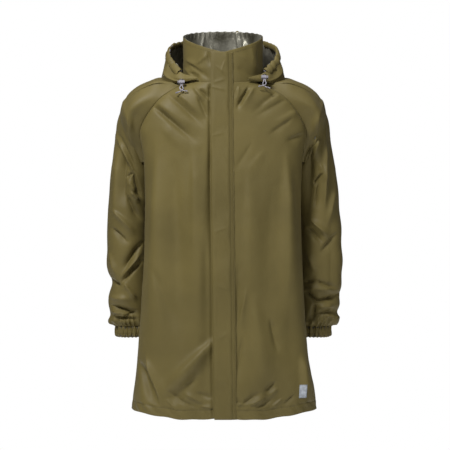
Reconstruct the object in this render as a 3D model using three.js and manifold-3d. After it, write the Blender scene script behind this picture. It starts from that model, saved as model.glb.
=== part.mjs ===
// Hooded raglan rain jacket, hanging by its neck loop. Millimetres, +Z up, -Y is the front.
// Every piece is modelled over the hem (z = 0 there), then the whole garment is moved so that the
// origin is where a hook bears in the hanger loop.
import * as THREE from "three";
import { mergeVertices } from "three/addons/utils/BufferGeometryUtils.js";
import Module from "manifold-3d";

const wasm = await Module();
wasm.setup();

// ---- driving sizes ----
const CLOTH = 1.2; // one layer of coated cloth with its seam allowance
const SEAM_GAP = 0.6; // between two pieces that meet at a seam
const BODY_LENGTH = 762; // hem to the neck seam at the centre front
const ARMHOLE_DEPTH = 177; // neck seam at the centre front down to the underarm
const HEM_HALF_WIDTH = 209; // at the side seams
const WAIST_HALF_WIDTH = 177;
const CHEST_HALF_WIDTH = 180;
const SIDE_SEAM_Y = -15;
const FRONT_Y_HEM = -150; // the closure is one straight line, from the hem to the top of the collar
const FRONT_Y_TOP = -100;
const BACK_Y_HEM = 136;
const BACK_Y_WAIST = 118;
const BACK_Y_CHEST = 124;
const NECK_HALF_WIDTH = 93;
const NECK_BACK_Y = 80;
const NECK_RISE = 38; // the neck seam is higher at the back
const COLLAR_FRONT_HEIGHT = 70;
const COLLAR_BACK_HEIGHT = 104;
const SLEEVE_LENGTH = 388; // underarm to the top of the cuff
const SLEEVE_HALF_WIDTH = 49;
const SLEEVE_HALF_DEPTH = 61;
const SLEEVE_Y = 42;
const CUFF_HALF_WIDTH = 40;
const CUFF_HALF_DEPTH = 33;
const CUFF_HEIGHT = 26;
const HOOD_POUCH_DEPTH = 140; // how far the folded hood hangs below the back of the neck seam
const FLAP_WIDTH = 40;
const FLAP_BASE_WIDTH = 9;
const FLAP_STAND_OFF = 5;
const FLAP_EDGE_TOP = -28; // the flap's free edge, across from the closure line
const FLAP_EDGE_HEM = -19;
const ZIP_BOTTOM = 34;
const FRONT_EDGE = 7; // each front stops this far from the closure line
const TAPE_WIDTH = 13;
const FASTENER_PAIRS = 6;
const LOOP_WIDTH = 56;
const LOOP_HEIGHT = 16;
const TAPE_THICK = 1.5;
const LABEL_WIDTH = 22;
const LABEL_HEIGHT = 28;
const CORD_DIAMETER = 2.4;
const CORD_SPACING = CORD_DIAMETER + 0.4;
const CORD_CLEARANCE = 0.3;

// ---- derived places ----
const UNDERARM_Z = BODY_LENGTH - ARMHOLE_DEPTH;
const COLLAR_TOP_Z = BODY_LENGTH + COLLAR_FRONT_HEIGHT;
const CUFF_TOP_Z = UNDERARM_Z - SLEEVE_LENGTH;
const SIDE_TURN = 108; // degrees: which way a row of cloth runs, in plan, as it crosses the side seam
const NECK_FRONT_ANGLE = 60; // the raglan seams meet the neck seam at these angles from the front
const NECK_BACK_ANGLE = 125;

const rad = THREE.MathUtils.degToRad;
const lerp = THREE.MathUtils.lerp;
const vec = (x, y, z) => new THREE.Vector3(x, y, z);
const mirrored = (p) => vec(-p.x, p.y, p.z);
const frontLineY = (z) => lerp(FRONT_Y_HEM, FRONT_Y_TOP, z / COLLAR_TOP_Z);

// A smooth value through [place, value] keys.
function through(keys, at) {
  const last = keys.length - 1;
  const clamped = THREE.MathUtils.clamp(at, keys[0][0], keys[last][0]);
  let k = 0;
  while (k < last - 1 && clamped > keys[k + 1][0]) k += 1;
  const slope = (i) => {
    const a = keys[Math.max(i - 1, 0)];
    const b = keys[Math.min(i + 1, last)];
    return (b[1] - a[1]) / (b[0] - a[0]);
  };
  const [x0, y0] = keys[k];
  const [x1, y1] = keys[k + 1];
  const w = x1 - x0;
  const t = (clamped - x0) / w;
  const s = 1 - t;
  return (
    y0 * (1 + 2 * t) * s * s +
    slope(k) * w * t * s * s +
    y1 * t * t * (3 - 2 * t) -
    slope(k + 1) * w * t * t * s
  );
}

// ---- solids from grids of points ----
function solid(points, faces) {
  const flat = points.flatMap((p) => [p.x, p.y, p.z]);
  const geometry = new THREE.BufferGeometry();
  geometry.setAttribute("position", new THREE.Float32BufferAttribute(flat, 3));
  let volume = 0;
  for (const [a, b, c] of faces) {
    volume += points[a].dot(points[b].clone().cross(points[c]));
  }
  const outward = volume > 0 ? faces : faces.map(([a, b, c]) => [a, c, b]);
  geometry.setIndex(outward.flat());
  return geometry;
}

// A layer of cloth: the grid is its outer face, and side (1 or -1) says which way its thickness goes.
// A closed grid joins its last column to its first, as a sleeve does.
function clothLayer(grid, side, closed = false, thickness = CLOTH) {
  const rows = grid.length;
  const columns = grid[0].length;
  const at = (i, j) => {
    const row = grid[THREE.MathUtils.clamp(i, 0, rows - 1)];
    return row[closed ? (j + columns) % columns : THREE.MathUtils.clamp(j, 0, columns - 1)];
  };
  const points = [...grid.flat()];
  for (let i = 0; i < rows; i += 1) {
    for (let j = 0; j < columns; j += 1) {
      const along = at(i + 1, j).clone().sub(at(i - 1, j));
      const across = at(i, j + 1).clone().sub(at(i, j - 1));
      const normal = along.cross(across).normalize();
      points.push(at(i, j).clone().addScaledVector(normal, side * thickness));
    }
  }
  const faces = [];
  const quad = (a, b, c, d) => faces.push([a, b, c], [a, c, d]);
  const index = (i, j, layer) => layer * rows * columns + i * columns + (j % columns);
  const spans = closed ? columns : columns - 1;
  for (let i = 0; i < rows - 1; i += 1) {
    for (let j = 0; j < spans; j += 1) {
      quad(index(i, j, 0), index(i, j + 1, 0), index(i + 1, j + 1, 0), index(i + 1, j, 0));
      quad(index(i, j, 1), index(i + 1, j, 1), index(i + 1, j + 1, 1), index(i, j + 1, 1));
    }
  }
  for (let j = 0; j < spans; j += 1) {
    const n = rows - 1;
    quad(index(0, j, 0), index(0, j, 1), index(0, j + 1, 1), index(0, j + 1, 0));
    quad(index(n, j, 0), index(n, j + 1, 0), index(n, j + 1, 1), index(n, j, 1));
  }
  if (!closed) {
    for (let i = 0; i < rows - 1; i += 1) {
      const m = columns - 1;
      quad(index(i, 0, 0), index(i + 1, 0, 0), index(i + 1, 0, 1), index(i, 0, 1));
      quad(index(i, m, 0), index(i, m, 1), index(i + 1, m, 1), index(i + 1, m, 0));
    }
  }
  return solid(points, faces);
}

// A solid swept from rings of points that all have the same count; a closed sweep has no ends.
function sweep(rings, closed = false) {
  const n = rings[0].length;
  const points = rings.flat();
  const faces = [];
  const spans = closed ? rings.length : rings.length - 1;
  for (let i = 0; i < spans; i += 1) {
    for (let j = 0; j < n; j += 1) {
      const a = i * n + j;
      const b = i * n + ((j + 1) % n);
      const next = ((i + 1) % rings.length) * n;
      faces.push([a, b, next + ((j + 1) % n)], [a, next + ((j + 1) % n), next + j]);
    }
  }
  if (!closed) {
    const last = (rings.length - 1) * n;
    for (const [a, b, c] of capFaces(rings[0])) {
      faces.push([c, b, a]);
      faces.push([last + a, last + b, last + c]);
    }
  }
  return solid(points, faces);
}

// Triangles that fill a flat ring, found in the ring's own plane.
function capFaces(ring) {
  const centre = ring.reduce((sum, p) => sum.add(p), vec(0, 0, 0)).divideScalar(ring.length);
  const normal = vec(0, 0, 0);
  ring.forEach((p, j) => {
    const q = ring[(j + 1) % ring.length];
    normal.add(p.clone().sub(centre).cross(q.clone().sub(centre)));
  });
  normal.normalize();
  const u = ring[0].clone().sub(centre).normalize();
  const v = normal.clone().cross(u);
  const flat = ring.map((p) => {
    const d = p.clone().sub(centre);
    return new THREE.Vector2(d.dot(u), d.dot(v));
  });
  return THREE.ShapeUtils.triangulateShape(flat, []);
}

// Rings of a round cord along a curve.
function cordRings(points, radius, sides = 8) {
  const curve = new THREE.CatmullRomCurve3(points);
  const steps = Math.max(6, Math.round(curve.getLength() / (radius * 5)));
  const frames = curve.computeFrenetFrames(steps);
  const rings = [];
  for (let i = 0; i <= steps; i += 1) {
    const centre = curve.getPointAt(i / steps);
    rings.push(
      Array.from({ length: sides }, (_, j) => {
        const turn = (2 * Math.PI * j) / sides;
        return centre
          .clone()
          .addScaledVector(frames.normals[i], radius * Math.cos(turn))
          .addScaledVector(frames.binormals[i], radius * Math.sin(turn));
      }),
    );
  }
  return rings;
}

// ---- booleans ----
function manifoldOf(geometry, x = 0, y = 0, z = 0) {
  const bare = geometry.clone().translate(x, y, z);
  bare.deleteAttribute("normal");
  bare.deleteAttribute("uv");
  const merged = mergeVertices(bare, 1e-4);
  const triVerts = new Uint32Array(merged.index.array);
  const vertProperties = merged.attributes.position.array;
  return new wasm.Manifold(new wasm.Mesh({ numProp: 3, vertProperties, triVerts }));
}

function geometryOf(manifold) {
  const mesh = manifold.getMesh();
  const geometry = new THREE.BufferGeometry();
  geometry.setAttribute("position", new THREE.BufferAttribute(mesh.vertProperties.slice(), 3));
  geometry.setIndex(new THREE.BufferAttribute(mesh.triVerts.slice(), 1));
  return geometry;
}

// A block from one corner to the other.
function block(x0, x1, y0, y1, z0, z1) {
  const geometry = new THREE.BoxGeometry(x1 - x0, y1 - y0, z1 - z0);
  return geometry.translate((x0 + x1) / 2, (y0 + y1) / 2, (z0 + z1) / 2);
}

// ---- materials ----
const finish = (color, roughness, metalness = 0) =>
  new THREE.MeshStandardMaterial({ color, roughness, metalness });
const shellCloth = () => finish("#6c6241", 0.6);
const coatedCloth = () => finish("#8f8f8a", 0.4);
const darkTape = () => finish("#38342a", 0.85);
const greyPlastic = () => finish("#a7a4a8", 0.5);
const greyCord = () => finish("#b6b2b8", 0.8);

const garment = new THREE.Group();
function add(name, geometry, material, parent = garment) {
  const mesh = new THREE.Mesh(geometry, material);
  mesh.name = name;
  parent.add(mesh);
  return mesh;
}

// ---- the jacket's surface ----
const NECK_CENTRE_Y = (frontLineY(BODY_LENGTH) + NECK_BACK_Y) / 2;
const NECK_HALF_DEPTH = NECK_BACK_Y - NECK_CENTRE_Y;

// The neck seam, by the angle from the centre front; out moves it away from the neck.
function neckSeam(degrees, out = 0) {
  const a = rad(degrees);
  return vec(
    (NECK_HALF_WIDTH + out) * Math.sin(a),
    NECK_CENTRE_Y - (NECK_HALF_DEPTH + out) * Math.cos(a),
    BODY_LENGTH + (NECK_RISE * (1 - Math.cos(a))) / 2,
  );
}

// How far the neck seam lies behind its front point, or before its back one, at a width.
const neckCurve = (x) => NECK_HALF_DEPTH * (1 - Math.sqrt(1 - (x / NECK_HALF_WIDTH) ** 2));

const sideSeamX = (z) =>
  through(
    [
      [0, HEM_HALF_WIDTH],
      [UNDERARM_Z * 0.26, lerp(HEM_HALF_WIDTH, WAIST_HALF_WIDTH, 0.55)],
      [UNDERARM_Z * 0.68, WAIST_HALF_WIDTH],
      [UNDERARM_Z, CHEST_HALF_WIDTH],
    ],
    z,
  );

const backY = (z) =>
  through(
    [
      [0, BACK_Y_HEM],
      [UNDERARM_Z * 0.6, BACK_Y_WAIST],
      [UNDERARM_Z + 60, BACK_Y_CHEST],
      [BODY_LENGTH - 20, BACK_Y_CHEST - 20],
      [BODY_LENGTH + NECK_RISE, NECK_BACK_Y],
    ],
    z,
  );

const underarm = vec(CHEST_HALF_WIDTH, SIDE_SEAM_Y, UNDERARM_Z);
const frontRaglan = new THREE.CatmullRomCurve3([
  underarm,
  underarm.clone().add(vec(7, -14, 30)),
  underarm.clone().add(vec(12, -38, 72)),
  vec(lerp(CHEST_HALF_WIDTH, NECK_HALF_WIDTH, 0.36), -76, BODY_LENGTH - 38),
  neckSeam(NECK_FRONT_ANGLE),
]);
const backRaglan = new THREE.CatmullRomCurve3([
  underarm,
  underarm.clone().add(vec(4, 48, 36)),
  underarm.clone().add(vec(-2, 84, 86)),
  vec(lerp(CHEST_HALF_WIDTH, NECK_HALF_WIDTH, 0.35), 98, BODY_LENGTH - 36),
  neckSeam(NECK_BACK_ANGLE),
]);

// One point of a flat cubic that leaves the start along startTurn and arrives along endTurn.
function planCurve(start, end, startTurn, endTurn, startReach, endReach, s) {
  const along = (degrees) => new THREE.Vector2(Math.cos(rad(degrees)), Math.sin(rad(degrees)));
  const a = new THREE.Vector2(start.x, start.y);
  const d = new THREE.Vector2(end.x, end.y);
  const b = a.clone().addScaledVector(along(startTurn), startReach);
  const c = d.clone().addScaledVector(along(endTurn), -endReach);
  return new THREE.CubicBezierCurve(a, b, c, d).getPoint(s);
}

// Row heights: v from 0 to 1 is hem to underarm, 1 to 2 is underarm to neck seam.
function frontPoint(v, s) {
  const t = Math.max(v - 1, 0);
  const low = UNDERARM_Z * Math.min(v, 1);
  const turn = lerp(SIDE_TURN, NECK_FRONT_ANGLE, t);
  const edge = t > 0 ? frontRaglan.getPointAt(t) : vec(sideSeamX(low), SIDE_SEAM_Y, low);
  const share = (edge.z - UNDERARM_Z) / (neckSeam(NECK_FRONT_ANGLE).z - UNDERARM_Z);
  const middleZ = t > 0 ? lerp(UNDERARM_Z, BODY_LENGTH, share) : low;
  const middle = vec(FRONT_EDGE, frontLineY(middleZ), middleZ);
  edge.x -= SEAM_GAP * Math.cos(rad(turn));
  edge.y -= SEAM_GAP * Math.sin(rad(turn));
  const reach = edge.x * lerp(0.6, 0.41, t);
  const p = planCurve(middle, edge, 0, turn, reach, 0.75 * (edge.y - middle.y), s);
  return vec(p.x, p.y, lerp(middleZ, edge.z, s * s) - SEAM_GAP * t);
}

function backPoint(v, s) {
  const t = Math.max(v - 1, 0);
  const low = UNDERARM_Z * Math.min(v, 1);
  const turn = lerp(SIDE_TURN, NECK_BACK_ANGLE, t);
  const edge = t > 0 ? backRaglan.getPointAt(t) : vec(sideSeamX(low), SIDE_SEAM_Y, low);
  const share = (edge.z - UNDERARM_Z) / (neckSeam(NECK_BACK_ANGLE).z - UNDERARM_Z);
  const middleZ = t > 0 ? lerp(UNDERARM_Z, BODY_LENGTH + NECK_RISE, share) : low;
  const middle = vec(0, backY(middleZ), middleZ);
  edge.x += SEAM_GAP * Math.cos(rad(turn));
  edge.y += SEAM_GAP * Math.sin(rad(turn));
  const reach = edge.x * lerp(0.5, 0.4, t);
  const p = planCurve(edge, middle, turn, 180, 0.55 * (middle.y - edge.y), reach, s);
  return vec(p.x, p.y, lerp(edge.z, middleZ, 1 - (1 - s) * (1 - s)) - SEAM_GAP * t);
}

const ROWS_BELOW = 8;
const ROWS_ABOVE = 7;
const rowValues = [
  ...Array.from({ length: ROWS_BELOW }, (_, i) => i / ROWS_BELOW),
  ...Array.from({ length: ROWS_ABOVE + 1 }, (_, i) => 1 + i / ROWS_ABOVE),
];
const steps = (n) => Array.from({ length: n + 1 }, (_, i) => i / n);

function fronts() {
  const left = rowValues.map((v) => steps(9).map((s) => frontPoint(v, s)));
  const right = left.map((row) => row.map(mirrored));
  add("front_panel_left", clothLayer(left, 1), shellCloth());
  add("front_panel_right", clothLayer(right, -1), shellCloth());
}

function back() {
  const half = (v) => steps(8).map((s) => backPoint(v, s));
  const rows = rowValues.map((v) => {
    const left = half(v);
    const right = left.slice(0, -1).reverse().map(mirrored);
    return [...left, ...right];
  });
  add("back_panel", clothLayer(rows, 1), shellCloth());
}

// ---- sleeves and cuffs ----
const sleeveHalfWidth = (z) =>
  through(
    [
      [CUFF_TOP_Z, CUFF_HALF_WIDTH],
      [CUFF_TOP_Z + 14, SLEEVE_HALF_WIDTH - 5],
      [CUFF_TOP_Z + 60, SLEEVE_HALF_WIDTH - 2],
      [UNDERARM_Z - 20, SLEEVE_HALF_WIDTH],
    ],
    z,
  );
const sleeveHalfDepth = (z) =>
  through(
    [
      [CUFF_TOP_Z, CUFF_HALF_DEPTH],
      [CUFF_TOP_Z + 14, CUFF_HALF_DEPTH + 9],
      [CUFF_TOP_Z + 80, SLEEVE_HALF_DEPTH - 10],
      [UNDERARM_Z - 20, SLEEVE_HALF_DEPTH],
    ],
    z,
  );
const SIDE_DRIFT = 20; // how far the body's side has turned in by the middle of the sleeve
const sleeveSpace = (z) =>
  through(
    [
      [CUFF_TOP_Z - CUFF_HEIGHT, 8],
      [CUFF_TOP_Z + 90, 17],
      [UNDERARM_Z - 170, 23],
      [UNDERARM_Z - 20, 9],
    ],
    z,
  );

// The middle of the sleeve; its inner side keeps clear of the body.
const sleeveMiddle = (z) =>
  vec(sideSeamX(z) - SIDE_DRIFT + sleeveSpace(z) + sleeveHalfWidth(z), SLEEVE_Y, z);

// A point of the sleeve's section; turn 0 is outward, 90 is back.
function sleeveRingPoint(z, turn, tilt = 0) {
  const m = sleeveMiddle(z);
  const across = Math.cos(turn);
  m.x += sleeveHalfWidth(z) * across;
  m.y += sleeveHalfDepth(z) * Math.sin(turn);
  m.z += tilt * across;
  return m;
}

const SLEEVE_COLUMNS = 24;
const NECK_EDGE_STEPS = 4;
const SEAM_STEPS = (SLEEVE_COLUMNS - NECK_EDGE_STEPS) / 2;
const CAP_TILT = 14;
const CAP_Z = UNDERARM_Z - 26;

// The raglan seam from the underarm up the front, over the neck edge and down the back.
function armholeLoop() {
  const loop = [];
  for (let i = 0; i < SEAM_STEPS; i += 1) loop.push(frontRaglan.getPointAt(i / SEAM_STEPS));
  for (let i = 0; i < NECK_EDGE_STEPS; i += 1) {
    const angle = lerp(NECK_FRONT_ANGLE, NECK_BACK_ANGLE, i / NECK_EDGE_STEPS);
    loop.push(neckSeam(angle, 4 * SEAM_GAP));
  }
  for (let i = 0; i < SEAM_STEPS; i += 1) loop.push(backRaglan.getPointAt(1 - i / SEAM_STEPS));
  return loop.map((p) => p.clone().add(vec(2 * SEAM_GAP, 0, -SEAM_GAP)));
}

function sleeveGrid() {
  const loop = armholeLoop();
  const ringTurn = (j) => Math.PI + (2 * Math.PI * j) / SLEEVE_COLUMNS;
  const capCurves = loop.map((start, j) => {
    const end = sleeveRingPoint(CAP_Z, ringTurn(j), CAP_TILT);
    const reach = start.distanceTo(end);
    const leave = vec(1, 0, -0.12).normalize().multiplyScalar(0.56 * reach);
    const arrive = vec(-0.14, 0, 1).normalize().multiplyScalar(0.5 * reach);
    return new THREE.CubicBezierCurve3(start, start.clone().add(leave), end.clone().add(arrive), end);
  });
  const cap = steps(7).map((t) => capCurves.map((curve) => curve.getPoint(t)));
  const arm = steps(10)
    .slice(1)
    .map((t) => {
      const z = lerp(CAP_Z, CUFF_TOP_Z + SEAM_GAP, t);
      return loop.map((_, j) => sleeveRingPoint(z, ringTurn(j), CAP_TILT * (1 - t)));
    });
  return [...cap, ...arm];
}

// A ring about the cuff's middle from a section of [out, up] points.
function cuffRing(section, columns = 24) {
  const base = sleeveMiddle(CUFF_TOP_Z);
  const rings = Array.from({ length: columns }, (_, j) => {
    const turn = (2 * Math.PI * j) / columns;
    return section.map(([out, up]) =>
      vec(
        base.x + (CUFF_HALF_WIDTH + out) * Math.cos(turn),
        base.y + (CUFF_HALF_DEPTH + out) * Math.sin(turn),
        CUFF_TOP_Z - CUFF_HEIGHT + up,
      ),
    );
  });
  return rings;
}

const ELASTIC_THICK = 2;
const CUFF_WALL = 1;
const CUFF_SPACE = ELASTIC_THICK + 2 * CORD_CLEARANCE;
const casingSection = [
  [0, 0],
  [0, CUFF_HEIGHT],
  [-CUFF_WALL, CUFF_HEIGHT],
  [-CUFF_WALL, CUFF_WALL],
  [-CUFF_WALL - CUFF_SPACE, CUFF_WALL],
  [-CUFF_WALL - CUFF_SPACE, CUFF_HEIGHT],
  [-2 * CUFF_WALL - CUFF_SPACE, CUFF_HEIGHT],
  [-2 * CUFF_WALL - CUFF_SPACE, 0],
];
const elasticOut = -CUFF_WALL - CORD_CLEARANCE;
const elasticSection = [
  [elasticOut, CUFF_WALL + 1],
  [elasticOut, CUFF_HEIGHT - 2],
  [elasticOut - ELASTIC_THICK, CUFF_HEIGHT - 2],
  [elasticOut - ELASTIC_THICK, CUFF_WALL + 1],
];

function sleevesAndCuffs() {
  const grid = sleeveGrid();
  const onSide = (side, rows) => (side > 0 ? rows : rows.map((row) => row.map(mirrored)));
  for (const [name, side] of [["left", 1], ["right", -1]]) {
    add(`sleeve_${name}`, clothLayer(onSide(side, grid), side, true), shellCloth());
    const casing = sweep(onSide(side, cuffRing(casingSection)), true);
    add(`cuff_casing_${name}`, casing, shellCloth());
    const elastic = sweep(onSide(side, cuffRing(elasticSection)), true);
    add(`cuff_elastic_${name}`, elastic, darkTape());
  }
}

// ---- collar ----
const collarTopZ = (degrees) => {
  const share = ((1 - Math.cos(rad(degrees))) / 2) ** 0.6;
  return lerp(COLLAR_TOP_Z, BODY_LENGTH + NECK_RISE + COLLAR_BACK_HEIGHT, share);
};

// The collar stands on the neck seam; its front edges stay on the closure line.
function collarPoint(degrees, up, inset) {
  const base = neckSeam(degrees, -inset);
  const z = lerp(base.z + 2 * SEAM_GAP, collarTopZ(degrees), up);
  const forward = (1 + Math.cos(rad(degrees))) / 2;
  const lean = frontLineY(z) - frontLineY(BODY_LENGTH);
  return vec(base.x, base.y + lean * forward - 8 * up * (1 - forward), z);
}

const LINING_INSET = CLOTH + SEAM_GAP;
const LINING_THICK = 0.9;
const LINING_EDGE = FRONT_EDGE + TAPE_WIDTH; // the lining stops at the zip tapes
function collar() {
  const around = (inset, edge, topShare) => {
    const edgeAngle = THREE.MathUtils.radToDeg(Math.asin(edge / (NECK_HALF_WIDTH - inset)));
    return steps(4).map((up) =>
      steps(36).map((a) => collarPoint(lerp(edgeAngle, 360 - edgeAngle, a), up * topShare, inset)),
    );
  };
  add("collar_outer", clothLayer(around(0, FRONT_EDGE, 1), -1), shellCloth());
  const lining = around(LINING_INSET, LINING_EDGE, 0.985);
  add("collar_lining", clothLayer(lining, -1, false, LINING_THICK), coatedCloth());
}

// ---- hood, folded back ----
const neckBackZ = BODY_LENGTH + NECK_RISE;
const HOOD_FRONT_ANGLE = 36;
const shoulder = NECK_HALF_WIDTH;
// Guide lines of the hood's left half, from its front end round to the centre back.
const hoodGuides = [
  // where the hood is sewn, just outside the neck seam
  steps(6).map((t) => neckSeam(lerp(HOOD_FRONT_ANGLE, 180, t), 4).add(vec(0, 0, 4))),
  // the wall that lies on the shoulders and the back
  [
    neckSeam(HOOD_FRONT_ANGLE, 5.6).add(vec(0, 0, 3)),
    vec(shoulder + 5, -58, BODY_LENGTH + 20),
    vec(shoulder + 22, -14, BODY_LENGTH + 30),
    vec(shoulder + 24, 30, BODY_LENGTH + 31),
    vec(shoulder, 98, BODY_LENGTH + 10),
    vec(46, 124, neckBackZ - HOOD_POUCH_DEPTH * 0.4),
    vec(0, 132, neckBackZ - HOOD_POUCH_DEPTH * 0.45),
  ],
  // the bottom of the pouch
  [
    neckSeam(HOOD_FRONT_ANGLE, 7).add(vec(0, -0.4, 4.5)),
    vec(shoulder + 14, -63, BODY_LENGTH + 19),
    vec(shoulder + 44, -8, BODY_LENGTH + 29),
    vec(shoulder + 44, 40, BODY_LENGTH + 30),
    vec(shoulder + 3, 132, neckBackZ - HOOD_POUCH_DEPTH * 0.5),
    vec(52, 152, neckBackZ - HOOD_POUCH_DEPTH * 0.92),
    vec(0, 156, neckBackZ - HOOD_POUCH_DEPTH),
  ],
  // the outer wall
  [
    neckSeam(HOOD_FRONT_ANGLE, 8).add(vec(0, -0.4, 6.5)),
    vec(shoulder + 16, -66, BODY_LENGTH + 24),
    vec(shoulder + 51, -8, BODY_LENGTH + 42),
    vec(shoulder + 50, 50, BODY_LENGTH + 58),
    vec(shoulder + 12, 142, BODY_LENGTH + 40),
    vec(56, 168, BODY_LENGTH + 20),
    vec(0, 174, BODY_LENGTH + 10),
  ],
  // the rim
  [
    neckSeam(HOOD_FRONT_ANGLE, 8).add(vec(0, 0, 9)),
    vec(shoulder + 8, -60, BODY_LENGTH + 30),
    vec(shoulder + 34, -10, BODY_LENGTH + 64),
    vec(shoulder + 33, 34, BODY_LENGTH + 96),
    vec(shoulder + 2, 92, BODY_LENGTH + 112),
    vec(50, 112, BODY_LENGTH + 118),
    vec(0, 118, BODY_LENGTH + 121),
  ],
].map((points) => new THREE.CatmullRomCurve3(points));

// Along is 0 at the front end and 1 at the centre back; up is 0 at the neck seam and 1 at the rim.
function hoodSection(along) {
  const ends = hoodGuides.map((guide) => guide.getPoint(along));
  return new THREE.CatmullRomCurve3(ends);
}
function hoodRow(along) {
  const section = hoodSection(Math.min(along, 2 - along));
  const points = steps(10).map((up) => section.getPoint(up));
  return along > 1 ? points.map(mirrored) : points;
}

const PANEL_SPLIT = 0.66; // the centre panel starts here
const CASING_START = 0.16;
const CASING_LEG = 9;
const CASING_WALL = 1;
const CASING_HALF = CORD_DIAMETER / 2 + CASING_WALL + 1.2;
const CASING_RISE = CASING_WALL + 2 * CORD_CLEARANCE + CORD_DIAMETER + CORD_SPACING + 1.4;
const PANEL_GAP = 0.004;

function hood() {
  const panel = (from, to, n) => steps(n).map((t) => hoodRow(lerp(from, to, t)));
  add("hood_panel_left", clothLayer(panel(0, PANEL_SPLIT - PANEL_GAP, 14), 1), shellCloth());
  const centre = panel(PANEL_SPLIT + PANEL_GAP, 2 - PANEL_SPLIT - PANEL_GAP, 12);
  add("hood_panel_centre", clothLayer(centre, 1), shellCloth());
  add("hood_panel_right", clothLayer(panel(2 - PANEL_SPLIT + PANEL_GAP, 2, 14), 1), shellCloth());
}

// A place on the rim with its own directions: out of the hood, and up the wall.
function rimFrame(along) {
  const folded = Math.min(along, 2 - along);
  const side = along > 1 ? -1 : 1;
  const step = 0.01;
  const rim = (a) => hoodSection(THREE.MathUtils.clamp(a, 0, 1)).getPoint(1);
  const section = hoodSection(folded);
  const point = section.getPoint(1);
  const up = section.getPoint(1).sub(section.getPoint(0.94)).normalize();
  const run = rim(folded + step).sub(rim(folded - step));
  run.normalize();
  const out = run.clone().cross(up).normalize();
  up.copy(out.clone().cross(run)).normalize();
  const flip = (v) => vec(v.x * side, v.y, v.z);
  return { point: flip(point), out: flip(out), up: flip(up) };
}

function alongRim(section, n) {
  return steps(n).map((t) => {
    const { point, out, up } = rimFrame(lerp(CASING_START, 2 - CASING_START, t));
    return section.map(([x, y]) => point.clone().addScaledVector(out, x).addScaledVector(up, y));
  });
}

function hoodCasing() {
  const inner = CASING_HALF - CASING_WALL;
  const top = CASING_RISE - CASING_WALL;
  const section = [
    [CASING_HALF, -CASING_LEG],
    [CASING_HALF, CASING_RISE],
    [-CASING_HALF, CASING_RISE],
    [-CASING_HALF, -CASING_LEG],
    [-inner, -CASING_LEG],
    [-inner, top],
    [inner, top],
    [inner, -CASING_LEG],
  ];
  add("hood_casing", sweep(alongRim(section, 52)), shellCloth());
  const radius = CORD_DIAMETER / 2;
  const circle = (middle) =>
    Array.from({ length: 8 }, (_, j) => {
      const a = (Math.PI * j) / 4;
      return [radius * Math.cos(a), middle + radius * Math.sin(a)];
    });
  const upper = top - 2 * CORD_CLEARANCE - radius;
  add("hood_drawcord_upper", sweep(alongRim(circle(upper), 52)), greyCord());
  add("hood_drawcord_lower", sweep(alongRim(circle(upper - CORD_SPACING), 52)), greyCord());
}

// ---- closure, modelled flat: z runs up the closure line and -y is outward ----
const closureLength = Math.hypot(COLLAR_TOP_Z, FRONT_Y_TOP - FRONT_Y_HEM);
const closure = new THREE.Group();
closure.position.set(0, FRONT_Y_HEM, 0);
closure.rotation.x = -Math.atan2(FRONT_Y_TOP - FRONT_Y_HEM, COLLAR_TOP_Z);
garment.add(closure);

const CHAIN_SLIT = 0.7;
const CHAIN_WIDTH = 2;
const CHAIN_FRONT = 0.9;
const CHAIN_BACK = 3.1;
const ZIP_TOP = closureLength - 10;
const SLIDER_LENGTH = 9;
const STOP_HEIGHT = 3;
const RUN = 0.4; // running clearance of the slider

function zip() {
  const chainOuter = CHAIN_SLIT + CHAIN_WIDTH;
  const tapeInner = chainOuter + CORD_CLEARANCE;
  const tapeFront = neckCurve(tapeInner + TAPE_WIDTH) + SEAM_GAP;
  const tapeBack = tapeFront + 0.8;
  for (const [name, side] of [["left", 1], ["right", -1]]) {
    const span = (a, b) => (side > 0 ? [a, b] : [-b, -a]);
    const across = span(tapeInner, tapeInner + TAPE_WIDTH);
    const tape = block(...across, tapeFront, tapeBack, ZIP_BOTTOM, ZIP_TOP + 6);
    add(`zip_tape_${name}`, tape, darkTape(), closure);
    const chain = span(CHAIN_SLIT, chainOuter);
    const coil = block(...chain, CHAIN_FRONT, CHAIN_BACK, ZIP_BOTTOM + 14, ZIP_TOP - STOP_HEIGHT);
    add(`zip_coil_${name}`, coil, darkTape(), closure);
    const stop = block(...chain, CHAIN_FRONT, CHAIN_BACK, ZIP_TOP - STOP_HEIGHT + RUN, ZIP_TOP);
    add(`zip_top_stop_${name}`, stop, finish("#57554f", 0.4, 0.9), closure);
  }
  const box = block(-chainOuter, chainOuter, 0.6, 3.4, ZIP_BOTTOM, ZIP_BOTTOM + 13);
  add("zip_retainer_box", box, finish("#2e2b24", 0.6), closure);
}

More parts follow.
